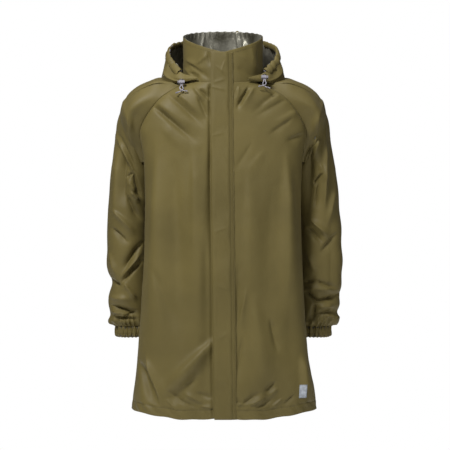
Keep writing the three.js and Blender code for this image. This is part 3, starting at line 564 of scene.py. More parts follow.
def row_edge(v, raglan):
    """Where each row of cloth ends: on the side seam, then up the raglan seam."""
    low = UNDERARM_Z * np.minimum(v, 1)
    side = np.stack([side_seam_x(low), np.full_like(low, SIDE_SEAM_Y), low], -1)
    return np.where((v > 1)[..., None], raglan.by_length(np.clip(v - 1, 0, 1)), side)


def front_grid(rows, columns):
    """Half a front, from its edge by the zip to the side and raglan seams."""
    v, s = np.meshgrid(rows, columns, indexing="ij")
    t = np.clip(v - 1, 0, 1)
    edge = row_edge(v, front_raglan)
    middle_z = middle_height(v, edge, NECK_FRONT_ANGLE, BODY_LENGTH)
    middle = np.stack([np.full_like(v, FRONT_EDGE), front_line_y(middle_z), middle_z], -1)
    turn = lerp(SIDE_TURN, NECK_FRONT_ANGLE, t)
    reach = edge[..., 0] * lerp(0.6, 0.41, t)
    arrive = 0.75 * (edge[..., 1] - middle[..., 1])
    flat = plan_curve(middle, edge, np.zeros_like(v), turn, reach, arrive, s)
    return np.dstack([flat, lerp(middle_z, edge[..., 2], s * s)])


def middle_height(v, edge, neck_angle, top_z):
    """How high each row is in the jacket's middle."""
    share = (edge[..., 2] - UNDERARM_Z) / (neck_seam(neck_angle)[2] - UNDERARM_Z)
    return np.where(v > 1, lerp(UNDERARM_Z, top_z, share), UNDERARM_Z * v)


def back_grid(rows, columns):
    """Half the back, from the side and raglan seams to its middle."""
    v, s = np.meshgrid(rows, columns, indexing="ij")
    t = np.clip(v - 1, 0, 1)
    edge = row_edge(v, back_raglan)
    middle_z = middle_height(v, edge, NECK_BACK_ANGLE, NECK_BACK_Z)
    middle = np.stack([np.zeros_like(v), back_y(middle_z), middle_z], -1)
    turn = lerp(SIDE_TURN, NECK_BACK_ANGLE, t)
    reach = edge[..., 0] * lerp(0.5, 0.4, t)
    leave = 0.55 * (middle[..., 1] - edge[..., 1])
    flat = plan_curve(edge, middle, turn, np.full_like(v, 180), leave, reach, s)
    return np.dstack([flat, lerp(edge[..., 2], middle_z, 1 - (1 - s) ** 2)])


EASED_ROWS = 16


def eased(grid, edge_share):
    """Evens out the rows round the underarm; edge_share is 0 at the seam and 1 well inside."""
    middle = int(np.argmin(np.abs(BODY_ROWS - 1)))
    steps = np.arange(-EASED_ROWS, EASED_ROWS + 1)
    weight = bell(steps, 0, 0.5 * EASED_ROWS)
    weight /= weight.sum()
    result = grid.copy()
    for row in range(middle - 2 * EASED_ROWS, middle + 2 * EASED_ROWS + 1):
        mean = np.tensordot(weight, grid[row - EASED_ROWS : row + EASED_ROWS + 1], 1)
        share = edge_share * (1 - smooth_step(abs(row - middle), EASED_ROWS, 2 * EASED_ROWS))
        result[row] = lerp(grid[row], mean, share[:, None])
    return result


HEM_ROW_STEP = 1.7
SIDE_ROWS = 190
RAGLAN_ROWS = 84


def body_rows():
    """Row places, closer together in the hem: 0 at the hem, 1 at the underarm, 2 at the neck."""
    hem = np.arange(0, 2.2 * HEM_FOLD, HEM_ROW_STEP) / UNDERARM_Z
    side = np.linspace(2.25 * HEM_FOLD / UNDERARM_Z, 1, SIDE_ROWS)
    return np.concatenate([hem, side, np.linspace(1.012, 2, RAGLAN_ROWS)])


BODY_ROWS = body_rows()


def hem_shape(z, across, seed):
    """The turned hem: a shallow channel at its stitching and small puckers below it."""
    channel = -0.9 * bell(z, HEM_FOLD, 1.8)
    inside = smooth_step(z, -1, 5) * (1 - smooth_step(z, HEM_FOLD - 3, HEM_FOLD + 10))
    slant = across + 0.9 * z
    puckers = np.sin(slant / 4.1 + 2.2 * np.sin(across / 31 + seed)) * inside
    strength = 0.45 + 0.55 * np.sin(across / 47 + seed * 1.7) ** 2
    return channel + 1.3 * puckers * strength


# Folds of the fronts: the wearer's right has x < 0, the left has x > 0. Each is a line, given by its
# start's x and z and its end's x and z, its width and its height, and then how narrow its steep side
# is, where that isn't half. The other tables of folds have the same order.
CHEST_FOLDS = [
    (-162, 710, -64, 628, 10, -6.5), (-150, 716, -70, 648, 16, 3.0),
    (-128, 738, -47, 664, 11, -5.5), (-104, 738, -46, 684, 10, 2.6),
    (-58, 732, -34, 674, 8, -4.5), (-52, 746, -33, 724, 5, -5.0),
    (-68, 752, -46, 722, 6, 3.0), (-140, 660, -70, 600, 24, 2.0),
    (57, 750, 31, 703, 6, -6.0), (70, 750, 40, 704, 8, 3.6),
    (27, 745, 19, 705, 5, -3.5), (36, 752, 27, 716, 5, 3.0),
    (124, 744, 66, 690, 12, -3.6, 0.6), (146, 727, 74, 684, 8, -2.2),
    (134, 738, 84, 706, 8, 2.0), (156, 680, 104, 642, 8, -2.8),
    (172, 700, 120, 668, 14, 2.4), (184, 646, 146, 628, 9, -3.0),
    (64, 622, 26, 560, 9, -1.4), (92, 604, 56, 556, 14, 1.2),
]
DRAPE_FOLDS = [
    (-150, 590, -152, 110, 26, 8.0, 0.8), (-112, 560, -96, 150, 26, -5.0, 0.8),
    (-66, 600, -58, 300, 26, 4.0), (-38, 380, -30, 50, 18, -6.0, 0.9),
    (-30, 620, -32, 380, 8, -4.0, 0.8), (-22, 176, -126, 66, 20, 8.0, 0.6),
    (-60, 100, -130, 30, 16, -5.0, 0.6), (-170, 130, -136, 24, 9, 6.5, 0.4),
    (-188, 116, -154, 26, 15, -8.0, 0.6), (-150, 330, -112, 200, 14, -3.0),
    (146, 570, 150, 200, 22, 8.0, 0.6), (114, 520, 104, 160, 32, -3.6, 0.9),
    (60, 540, 64, 240, 26, 3.0), (108, 220, 126, 150, 12, -4.0),
    (140, 340, 172, 50, 26, -5.0, 0.9), (70, 260, 100, 70, 24, 5.0, 0.7),
    (34, 330, 26, 60, 9, -3.4, 0.7), (52, 290, 30, 180, 8, 2.6),
    (44, 180, 30, 90, 8, -2.6), (184, 130, 190, 20, 14, 6.0, 0.6),
]
HEM_FOLDS = [
    (-100, 44, -62, 26, 6, -4.5), (-86, 56, -40, 34, 7, 4.5),
    (-60, 58, -22, 46, 6, -4.0), (-50, 30, -22, 24, 5, 3.5),
    (-128, 40, -106, 20, 7, 4.0), (-124, 60, -92, 40, 7, -3.4),
    (44, 34, 82, 58, 7, -5.0), (62, 32, 96, 50, 6, 4.5),
    (78, 26, 116, 44, 6, -4.0), (24, 50, 44, 24, 6, -4.0),
    (26, 30, 52, 36, 5, 3.5), (118, 80, 95, 61, 7, -5.0),
    (124, 66, 104, 52, 7, 3.6), (134, 40, 110, 24, 6, 3.4),
    (160, 46, 136, 24, 7, -3.4),
]
HEM_SIDE_RISE = 13
CHEST_DEPTH = 1.45
DRAPE_DEPTH = 1.8
HEM_DEPTH = 1.2
FLAP_SHADOW = 5.5  # how far the cloth dips beside the flap's free edge
UNDER_FLAP = 42  # how far from the middle the flap can cover the fronts
FLAP_ROOM = 2.0  # the most that the fronts may rise there
FRONT_COLUMNS = 120
BACK_COLUMNS = 110


def hem_wave(x, z):
    """The hem's edge hangs in shallow waves."""
    near_hem = 1 - smooth_step(z, 10, 240)
    return near_hem * (5.0 * np.sin(x / 29.0 + 0.8) + 3.0 * np.sin(x / 13.0 + 2.0))


def raise_hem(grid):
    """The hem's edge is cut higher at the side seams, and lifts a little with each wave."""
    x, z = grid[..., 0], grid[..., 2]
    at_side = np.abs(x / HEM_HALF_WIDTH) ** 3
    rise = HEM_SIDE_RISE * at_side + 1.6 * np.sin(x / 24 + 1.0) + 0.8 * np.sin(x / 9.0)
    grid[..., 2] = z + (1 - smooth_step(z, 0, 150)) * rise


def front_shape(grid, side):
    """How far each point of a front stands out; grid is the left front, whichever side is asked."""
    x = grid[..., 0] * side
    z = grid[..., 2]
    lift = CHEST_DEPTH * folds(x, z, CHEST_FOLDS) + DRAPE_DEPTH * folds(x, z, DRAPE_FOLDS)
    lift += HEM_DEPTH * folds(x, z, HEM_FOLDS)
    lift += hem_wave(x, z) + 1.5 * soft_noise(x, z, 11, 120) + 0.5 * soft_noise(x, z, 12, 38)
    lift += hem_shape(z, x, 1.0)
    hidden = FRONT_EDGE if side < 0 else FRONT_EDGE + 14
    near_flap = smooth_step(grid[..., 0], hidden, hidden + 16)
    share = np.linspace(0, 1, grid.shape[1])[None, :]
    near_side = 1 - 0.85 * smooth_step(share, 0.8, 0.96)
    near_neck = 1 - smooth_step(z, BODY_LENGTH - 16, BODY_LENGTH)
    lift = np.where(np.abs(x) < UNDER_FLAP, np.minimum(lift, FLAP_ROOM), lift)
    if side < 0:
        lift -= FLAP_SHADOW * bell(x, flap_free_edge(z) - 3, 4)
    return lift * near_flap * near_side * near_neck


def front_panels():
    """Makes both fronts and gives back the left one's points."""
    columns = np.linspace(0, 1, FRONT_COLUMNS)
    base = eased(front_grid(BODY_ROWS, columns), 1 - smooth_step(columns, 0.85, 1))
    normal = grid_normals(base)
    fronts = {}
    for name, side in (("left", 1), ("right", -1)):
        shaped = base + normal * front_shape(base, side)[..., None]
        raise_hem(shaped)
        shaped[..., 0] *= side
        node = f"front_panel_{name}"
        cloth_piece(f"front_cloth_{name}", shaped, node, ["collar_cloth"], flipped=side < 0)
        stitched_lines(f"front_stitching_{name}", [hem_line(shaped, side)])
        fronts[name] = shaped
    return fronts["left"]


def row_at(z):
    return int(np.argmin(np.abs(BODY_ROWS * UNDERARM_Z - z)))


def hem_line(grid, side=1):
    """The hem's stitching line, just proud of the cloth."""
    row = row_at(HEM_FOLD)
    return grid[row] + grid_normals(grid)[row] * side * STITCH_PROUD


# ---- stitching ----
STITCH_RADIUS = 0.28
STITCH_PROFILE = ((0, 0.45), (0.3, 1.0), (0.7, 1.0), (1, 0.45))  # place along it, share of its radius


def run_lengths(line):
    """How far along a line of points each one is."""
    steps = np.linalg.norm(np.diff(line, axis=0), axis=1)
    return np.concatenate([[0], np.cumsum(steps)])


def stitched_lines(name, lines):
    """Rows of separate stitches that lie along lines of points."""
    points, faces = [], []
    for line in lines:
        lengths = run_lengths(line)
        for i in range(int(lengths[-1] / (STITCH + STITCH_GAP))):
            start = i * (STITCH + STITCH_GAP)
            ends = []
            for share, _ in STITCH_PROFILE:
                at = start + STITCH * share
                ends.append([np.interp(at, lengths, line[:, k]) for k in range(3)])
            add_stitch(points, faces, np.array(ends))
    piece = mesh_from(name, np.array(points), faces, [THREAD])
    declare(piece)


def add_stitch(points, faces, ends):
    """A stitch: a thin four-sided rod that dips into the cloth at both ends."""
    run = ends[-1] - ends[0]
    run = run / max(np.linalg.norm(run), 1e-6)
    side = np.cross(run, (0.31, -0.87, 0.38))
    side = side / np.linalg.norm(side)
    up = np.cross(side, run)
    base = len(points)
    for centre, (_, size) in zip(ends, STITCH_PROFILE):
        for k in range(4):
            a = math.pi / 2 * k
            points.append(centre + STITCH_RADIUS * size * (math.cos(a) * side + math.sin(a) * up))
    for i in range(3):
        for k in range(4):
            n = (k + 1) % 4
            a = base + i * 4
            faces.append((a + k, a + n, a + 4 + n, a + 4 + k))
    faces.append((base + 3, base + 2, base + 1, base))
    faces.append((base + 12, base + 13, base + 14, base + 15))


BACK_FOLDS = [
    (-60, 560, -80, 20, 34, 5.0, 0.6), (40, 600, 62, 10, 30, -4.6, 0.6),
    (-140, 460, -158, 20, 26, -4.8), (136, 470, 150, 20, 26, 5.0),
    (-10, 400, 0, 30, 28, -4.0, 0.6), (-120, 690, -50, 600, 16, -3.4),
    (120, 694, 46, 604, 16, -3.2), (-150, 610, -60, 560, 18, 2.6),
    (150, 606, 70, 556, 18, 2.6), (90, 300, 110, 30, 22, -3.6),
    (-100, 280, -96, 40, 20, 3.4),
]


def back_panel():
    """The back: one half of its shape, mirrored, and then folds across the whole."""
    half = np.linspace(0, 1, BACK_COLUMNS)
    left = eased(back_grid(BODY_ROWS, half), smooth_step(half, 0, 0.15))
    right = left[:, -2::-1] * (-1, 1, 1)
    base = np.concatenate([left, right], 1)
    x, z = base[..., 0], base[..., 2]
    lift = DRAPE_DEPTH * folds(x, z, BACK_FOLDS) + hem_wave(x + 40, z)
    lift += 1.6 * soft_noise(x, z, 21, 130) + 0.5 * soft_noise(x, z, 22, 40) + hem_shape(z, x, 2.0)
    fade = 1 - 0.8 * smooth_step(np.abs(x), 0.88 * side_seam_x(z), side_seam_x(z))
    fade = fade * (1 - smooth_step(z, NECK_BACK_Z - 30, NECK_BACK_Z - 6))
    shaped = base + grid_normals(base) * (lift * fade)[..., None]
    raise_hem(shaped)
    cloth_piece("back_cloth", shaped, "back_panel", ["collar_cloth"])
    stitched_lines("back_stitching", [hem_line(shaped)])


# ---- sleeves ----
def sleeve_half_width(z):
    keys = [
        (CUFF_TOP_Z, CUFF_HALF_WIDTH),
        (CUFF_TOP_Z + 14, SLEEVE_HALF_WIDTH - 5),
        (CUFF_TOP_Z + 60, SLEEVE_HALF_WIDTH - 2),
        (UNDERARM_Z - 20, SLEEVE_HALF_WIDTH),
    ]
    return through(keys, z)


def sleeve_half_depth(z):
    keys = [
        (CUFF_TOP_Z, CUFF_HALF_DEPTH),
        (CUFF_TOP_Z + 14, CUFF_HALF_DEPTH + 9),
        (CUFF_TOP_Z + 80, SLEEVE_HALF_DEPTH - 10),
        (UNDERARM_Z - 20, SLEEVE_HALF_DEPTH),
    ]
    return through(keys, z)


SIDE_DRIFT = 20  # how far inside the side seam's line the sleeve's room is measured from


def sleeve_space(z):
    keys = [
        (CUFF_TOP_Z - CUFF_HEIGHT, 8),
        (CUFF_TOP_Z + 90, 17),
        (UNDERARM_Z - 170, 23),
        (UNDERARM_Z - 20, 9),
    ]
    return through(keys, z)


def sleeve_middle_x(z):
    return side_seam_x(z) - SIDE_DRIFT + sleeve_space(z) + sleeve_half_width(z)


def sleeve_ring(z, turn, tilt=0.0):
    z = np.broadcast_to(np.asarray(z, float), turn.shape)
    x = sleeve_middle_x(z) + sleeve_half_width(z) * np.cos(turn)
    y = SLEEVE_Y + sleeve_half_depth(z) * np.sin(turn)
    return np.stack([x, y, z + tilt * np.cos(turn)], -1)


SLEEVE_COLUMNS = 216
CAP_TILT = 14  # how much higher the outer side of the cap's last row is than its middle
CAP_Z = UNDERARM_Z - 26
NECK_EDGE_SHARE = 4 / 24  # the share of the sleeve's top edge that lies on the neck seam
SLEEVE_GIRTH = 300


def armhole_loop(count):
    """The raglan seam from the underarm up the front, over the neck edge and down the back."""
    w = np.arange(count) / count
    seam = (1 - NECK_EDGE_SHARE) / 2
    front = front_raglan.by_length(np.clip(w / seam, 0, 1))
    angle = lerp(NECK_FRONT_ANGLE, NECK_BACK_ANGLE, np.clip((w - seam) / NECK_EDGE_SHARE, 0, 1))
    neck = neck_seam(angle, 1.0)
    back = back_raglan.by_length(np.clip((1 - w) / seam, 0, 1))
    on_neck = ((w >= seam) & (w < 1 - seam))[:, None]
    return np.where((w < seam)[:, None], front, np.where(on_neck, neck, back))


SLEEVE_TURN = math.pi + 2 * math.pi * np.arange(SLEEVE_COLUMNS) / SLEEVE_COLUMNS
CAP_ROWS = 96
TUBE_ROWS = 170
SEAM_TUCK = 5  # how far the sleeve's first row goes in under the body's cloth
ARM_MIDDLE = (110, 15, UNDERARM_Z + 70)


def sleeve_grid():
    """Rows from the raglan seam to the cuff, with the first row tucked under the body's cloth."""
    loop = armhole_loop(SLEEVE_COLUMNS)
    end = sleeve_ring(CAP_Z, SLEEVE_TURN, CAP_TILT)
    reach = np.linalg.norm(end - loop, axis=1)[:, None]
    b = loop + unit(np.array([1, 0, -0.12])) * 0.56 * reach
    c = end + unit(np.array([-0.14, 0, 1])) * 0.5 * reach
    rows = [loop + unit(np.array(ARM_MIDDLE) - loop) * SEAM_TUCK]
    for t in np.linspace(0.004, 1, CAP_ROWS):
        rows.append(cubic(loop, b, c, end, t))
    for t in np.linspace(0, 1, TUBE_ROWS)[1:]:
        rows.append(sleeve_ring(lerp(CAP_Z, CUFF_TOP_Z, t), SLEEVE_TURN, CAP_TILT * (1 - t)))
    return np.array(rows)


# Folds of each sleeve as seen from the front: x is across from the middle of the jacket.
SLEEVE_FOLDS = {
    "right": [
        (232, 738, 203, 632, 15, 6.0, 0.45), (241, 706, 229, 636, 9, -6.0, 0.6),
        (255, 652, 206, 555, 7, 8.0), (252, 664, 203, 566, 5, -4.5, 0.6),
        (250, 630, 213, 552, 12, -9.5, 0.6), (209, 560, 192, 500, 6, -7.0),
        (237, 600, 232, 488, 12, -8.5, 0.6), (252, 600, 258, 440, 14, 5.5, 0.6),
        (211, 558, 228, 548, 5, -5.0), (222, 540, 204, 514, 9, 5.0, 0.6),
        (216, 514, 195, 494, 6, 6.0), (226, 506, 194, 450, 9, -8.0),
        (254, 470, 210, 420, 9, 6.0), (262, 430, 222, 396, 8, -6.0),
        (192, 392, 238, 324, 9, -9.5), (194, 370, 240, 312, 7, 6.5),
        (194, 348, 241, 300, 8, -7.5), (270, 372, 250, 318, 9, 6.0, 0.6),
        (276, 312, 240, 292, 8, -9.0), (232, 300, 204, 262, 8, 6.0),
        (272, 268, 220, 262, 10, 6.0, 0.6), (264, 248, 200, 228, 7, -8.0),
        (268, 234, 214, 226, 6, 5.5), (258, 221, 200, 213, 6, -6.5),
        (240, 216, 204, 236, 5, -4.5),
    ],
    "left": [
        (232, 738, 203, 640, 15, 6.0, 0.45), (244, 716, 236, 650, 10, -6.0, 0.6),
        (192, 646, 224, 636, 9, -5.0, 0.7), (222, 640, 210, 590, 10, 6.5, 0.6),
        (204, 622, 198, 440, 20, -10.0, 0.8), (232, 557, 212, 534, 6, -8.0, 0.4),
        (228, 580, 236, 540, 7, 5.0), (226, 536, 214, 480, 8, -5.5),
        (240, 668, 238, 470, 6, 7.0, 0.6), (253, 650, 255, 500, 10, -6.0, 0.6),
        (262, 520, 246, 440, 10, 6.0), (198, 428, 234, 396, 9, -8.5),
        (208, 446, 246, 410, 8, 5.5), (268, 420, 230, 372, 9, -5.5),
        (196, 372, 216, 330, 9, 5.5), (192, 302, 220, 304, 6, -5.5),
        (218, 305, 272, 286, 6, -5.5), (200, 289, 266, 284, 12, 6.5, 0.7),
        (193, 279, 222, 255, 6, -9.5), (216, 256, 262, 264, 6, -9.5),
        (250, 261, 278, 281, 6, -8.0), (226, 244, 262, 246, 10, 6.0, 0.7),
        (214, 248, 211, 212, 8, -8.0), (216, 222, 264, 236, 6, -5.5),
        (240, 226, 278, 214, 8, 6.0, 0.6),
    ],
}
SLEEVE_BACK_FOLDS = [
    (240, 700, 214, 610, 14, 6.0, 0.6), (214, 620, 250, 530, 12, -8.0),
    (204, 560, 236, 480, 12, 6.5, 0.6), (206, 500, 262, 440, 9, -8.0),
    (264, 470, 214, 400, 10, 6.0), (200, 420, 258, 372, 9, -8.5),
    (262, 396, 206, 340, 9, 6.5), (262, 350, 200, 318, 8, -8.0),
    (206, 306, 266, 280, 9, 6.0), (270, 272, 204, 250, 7, -8.0),
    (204, 236, 268, 240, 7, 5.5), (264, 222, 206, 214, 6, -6.5),
]
# Where the sleeve bulges over the gathered cuff and where its outer edge is pulled in.
SLEEVE_OUTLINE = {
    "right": [(206, 5, 9), (250, 2, 16), (299, -9, 20), (345, 3, 24), (480, 1, 50)],
    "left": [(211, 14, 12), (248, 6, 16), (292, 9, 28), (352, 10, 40), (430, 6, 40), (520, 5, 60)],
}
SHOULDER_LIFT = 11
NECK_LIFT = 17  # under the hood's wings
SLEEVE_DEPTH = 1.45
CUFF_TUCK = 3.2  # how far the sleeve's end turns in under the cuff's top edge


def outline_shape(z, bulges):
    return sum(height * bell(z, level, spread) for level, height, spread in bulges)


def shoulder_lift(x, z):
    """The top of the shoulder, where the sleeve's cloth runs straighter from the neck."""
    along = smooth_step(x, 110, 185) * (1 - 0.55 * smooth_step(x, 212, 244)) * smooth_step(z, 630, 700)
    return SHOULDER_LIFT * along + NECK_LIFT * bell(x, 142, 23) * smooth_step(z, 700, 750)


def gathers(turn, seed):
    """The pleats that elastic pulls a sleeve's end into, sharp in their valleys."""
    wave = turn * 24 + 1.1 * np.sin(turn * 5 + seed) + 0.8 * np.sin(turn * 2)
    return 1 - 2 * np.abs(np.sin(wave / 2)) ** 0.7


PUFF_HEIGHT = 5.0  # how far the cloth bulges just above the cuff
LEAST_LIFT = -17
MOST_LIFT = 12


def outward_normals(base):
    """The sleeve's unit normals, pointing away from the arm."""
    normal = grid_normals(base, True)
    across = normal[len(base) // 2, :, 0]
    return normal if across @ np.cos(SLEEVE_TURN) > 0 else -normal


def sleeve_lift(base, normal, name, seed):
    """How far each point of a sleeve stands out, by where it faces."""
    x, z = base[..., 0], base[..., 2]
    rows = np.arange(base.shape[0])[:, None]
    to_front = smooth_step(-normal[..., 1], -0.35, 0.25)
    to_back = smooth_step(normal[..., 1], -0.1, 0.4)
    outer_side = smooth_step(normal[..., 0], 0.55, 0.95)
    inner_side = smooth_step(-normal[..., 0], 0.35, 0.9)
    lift = folds(x, z, SLEEVE_FOLDS[name]) * to_front + folds(x, z, SLEEVE_BACK_FOLDS) * to_back
    lift = SLEEVE_DEPTH * lift * (1 - 0.75 * outer_side)
    lift += outline_shape(z, SLEEVE_OUTLINE[name]) * outer_side
    lift += cuff_gathers(z, seed)
    around = np.broadcast_to((SLEEVE_TURN - 2 * math.pi) * SLEEVE_GIRTH / (2 * math.pi), x.shape)
    lift += 1.2 * soft_noise(around, z, 41 + seed, 70)
    from_cuff = 0.5 + 0.5 * smooth_step(z, CUFF_TOP_Z, CUFF_TOP_Z + 9)
    lift = np.clip(lift * smooth_step(rows, 2, 22) * from_cuff, LEAST_LIFT, MOST_LIFT)
    lift = lift - np.maximum(lift, 0) * inner_side
    on_top = smooth_step(normal[..., 2], -0.5, 0.2)
    return lift + shoulder_lift(x, z) * on_top * smooth_step(rows, 2, 30)


def cuff_gathers(z, seed):
    """The pleats that run up from the cuff, and the bulge just over it."""
    gather = gathers(SLEEVE_TURN, seed) * (0.7 + 0.3 * np.sin(SLEEVE_TURN * 4 + seed))
    lift = 3.4 * gather * (1 - smooth_step(z, CUFF_TOP_Z + 5, CUFF_TOP_Z + 40))
    puff = 0.5 + 0.5 * np.sin(SLEEVE_TURN * 7 + 1.3 * np.sin(SLEEVE_TURN * 2 + seed))
    return lift + PUFF_HEIGHT * puff * bell(z, CUFF_TOP_Z + 13, 9)


def sleeves():
    base = sleeve_grid()
    normal = outward_normals(base)
    for seed, (name, side) in enumerate((("left", 1), ("right", -1))):
        shaped = base + normal * sleeve_lift(base, normal, name, seed)[..., None]
        inward = unit(shaped[-1].mean(0) - shaped[-1])
        tucked = shaped[-1] + inward * CUFF_TUCK - (0, 0, 1)
        shaped = np.concatenate([shaped, tucked[None]])
        shaped[..., 0] *= side
        sewn_to = ["front_cloth_left", "back_cloth"]
        cloth = f"sleeve_cloth_{name}"
        cloth_piece(cloth, shaped, f"sleeve_{name}", sewn_to, flipped=side > 0, closed=True)


# ---- cuffs ----
CUFF_COLUMNS = 280
CUFF_STITCH_ROW = 6
# The casing's profile: how far out each row is and how high, tucked in at both ends.
CUFF_PROFILE = [(-6.0, 1.0), (-3.2, -0.6), (-0.6, 0.2), (1.2, 2.5)]
CUFF_PROFILE += [(1.5 + 0.5 * math.sin(u * math.pi), 2.5 + 21.5 * u) for u in np.linspace(0.1, 0.9, 9)]
CUFF_PROFILE += [(0.9, 25.2), (-1.4, 25.6)]


def cuff_row(out, up, side, seed):
    """One ring of the gathered casing; its pleats are deepest at both edges."""
    turn = 2 * math.pi * np.arange(CUFF_COLUMNS) / CUFF_COLUMNS
    edge = 0.55 + 0.45 * abs(up - 13) / 13
    radial = out - 1.5 + gathers(turn, seed) * 2.1 * edge + 0.5 * np.sin(turn * 48 + up / 4)
    x = sleeve_middle_x(CUFF_TOP_Z) + (CUFF_HALF_WIDTH + radial) * np.cos(turn)
    y = SLEEVE_Y + (CUFF_HALF_DEPTH + radial) * np.sin(turn)
    wobble = 0.8 * np.sin(turn * 24 + 0.6) * (1 if up < 3 else 0.4)
    z = np.full(CUFF_COLUMNS, CUFF_TOP_Z - CUFF_HEIGHT + up) + wobble
    return np.stack([x * side, y, z], -1)


def cuffs():
    """The elastic casing: sharp gathers all round, with the elastic inside it."""
    for seed, (name, side) in enumerate((("left", 1), ("right", -1))):
        grid = np.array([cuff_row(out, up, side, seed) for out, up in CUFF_PROFILE])
        cloth, node = f"cuff_cloth_{name}", f"cuff_casing_{name}"
        cloth_piece(cloth, grid, node, [f"sleeve_cloth_{name}"], "gathered", side < 0, True, 0.7)
        line = np.vstack([grid[CUFF_STITCH_ROW], grid[CUFF_STITCH_ROW][:1]])
        stitched_lines(f"cuff_stitching_{name}", [line + 0.2 * unit(line - line.mean(0))])


# ---- collar ----
def collar_top_z(degrees):
    share = ((1 - np.cos(np.radians(degrees))) / 2) ** 0.6
    return lerp(COLLAR_TOP_Z, NECK_BACK_Z + COLLAR_BACK_HEIGHT, share)


COLLAR_TUCK = 5  # how far the collar's lower edge is tucked behind the fronts


def collar_grid(degrees, ups, inset):
    up, angle = np.meshgrid(ups, degrees, indexing="ij")
    base = neck_seam(angle, -inset)
    z = lerp(base[..., 2] - COLLAR_TUCK, collar_top_z(angle), up)
    forward = (1 + np.cos(np.radians(angle))) / 2
    lean = front_line_y(z) - front_line_y(BODY_LENGTH)
    y = base[..., 1] + lean * forward - 8 * up * (1 - forward)
    return np.stack([base[..., 0], y, z], -1)


COLLAR_FOLDS = [
    (-76, 806, -32, 771, 7, -5.0), (-84, 820, -44, 784, 9, 3.5),
    (-35, 830, -28, 800, 6, -4.5), (-58, 806, -33, 828, 7, 3.5),
    (-76, 788, -54, 771, 7, -4.0), (-88, 800, -70, 775, 7, 3.0),
    (40, 826, 84, 796, 16, 2.4), (30, 796, 78, 774, 12, -2.4),
    (64, 850, 74, 786, 12, 2.2), (84, 850, 80, 800, 10, -2.6),
]


COLLAR_ROWS = 46
COLLAR_STITCH_ROWS = (41, 2)  # below the top edge, and at the seam to the body


def from_neck_middle(grid):
    """Unit directions away from the neck's middle, in plan."""
    x, y = grid[..., 0], grid[..., 1]
    return unit(np.stack([x, y - NECK_CENTRE_Y, np.zeros_like(x)], -1))


def collar_angles(edge_x, count):
    edge = math.degrees(math.asin(edge_x / NECK_HALF_WIDTH))
    return np.linspace(edge, 360 - edge, count)


def collar():
    degrees = collar_angles(FRONT_EDGE, 300)
    up = np.linspace(0, 1, COLLAR_ROWS)
    grid = collar_grid(degrees, up, -0.6)
    x, z = grid[..., 0], grid[..., 2]
    up = up[:, None]
    in_front = smooth_step(-grid[..., 1], 0, 40)
    lift = folds(x, z, COLLAR_FOLDS) * in_front + 1.3 * soft_noise(degrees * 1.7 + 0 * z, z, 51, 60)
    lift = lift * smooth_step(up, 0, 0.2) * smooth_step(np.abs(x), 10, 45)
    outward = from_neck_middle(grid)
    shaped = grid + outward * np.clip(lift, -2.4, 3.4)[..., None]
    rim_wave = 0.9 * np.sin(np.radians(degrees) * 31) * smooth_step(degrees, 95, 140)
    shaped[..., 2] += rim_wave * (1 - smooth_step(degrees, 220, 265)) * up
    cloth_piece("collar_cloth", shaped, "collar_outer", ["front_cloth_left", "back_cloth"])
    lines = [shaped[row] + outward[row] * 0.3 for row in COLLAR_STITCH_ROWS]
    stitched_lines("collar_stitching", lines)


CRINKLES = 46


def crinkles(around, height):
    """Random short upright folds round the collar, always the same ones."""
    rng = np.random.default_rng(61)
    lift = np.zeros_like(around)
    for _ in range(CRINKLES):
        centre = rng.uniform(20, 580)
        slope = rng.uniform(-22, 22)
        low = rng.uniform(-10, 45)
        top = low + rng.uniform(35, 75)
        width = rng.uniform(4, 8)
        lift += fold(around, height, centre, low, centre + slope, top, width, rng.uniform(2, 4.5))
    return lift


def collar_lining():
    """The coated inner side of the collar, crinkled where the gathered edge pulls it in."""
    degrees = collar_angles(FRONT_EDGE + TAPE_WIDTH, 420)
    ups = np.linspace(0, 0.992, 80)
    grid = collar_grid(degrees, ups, 3.3)
    up = ups[:, None]
    around = degrees * 1.65 + 0 * grid[..., 0]
    lift = crinkles(around, grid[..., 2] - grid[:1, :, 2])
    lift += 1.1 * wandering(around, 2.6, 1.4, 19) * smooth_step(up, 0.8, 0.97)
    lift = lift * smooth_step(up, 0, 0.15) * (1 - smooth_step(up, 0.93, 1.0) * 0.6)
    grid = grid - from_neck_middle(grid) * np.clip(lift, -0.3, 7)[..., None]
    look = {"thick": 0.5, "outer": COATING, "slot": "coated_lining"}
    cloth_piece("collar_lining_cloth", grid, "collar_lining", ["collar_cloth"], **look)


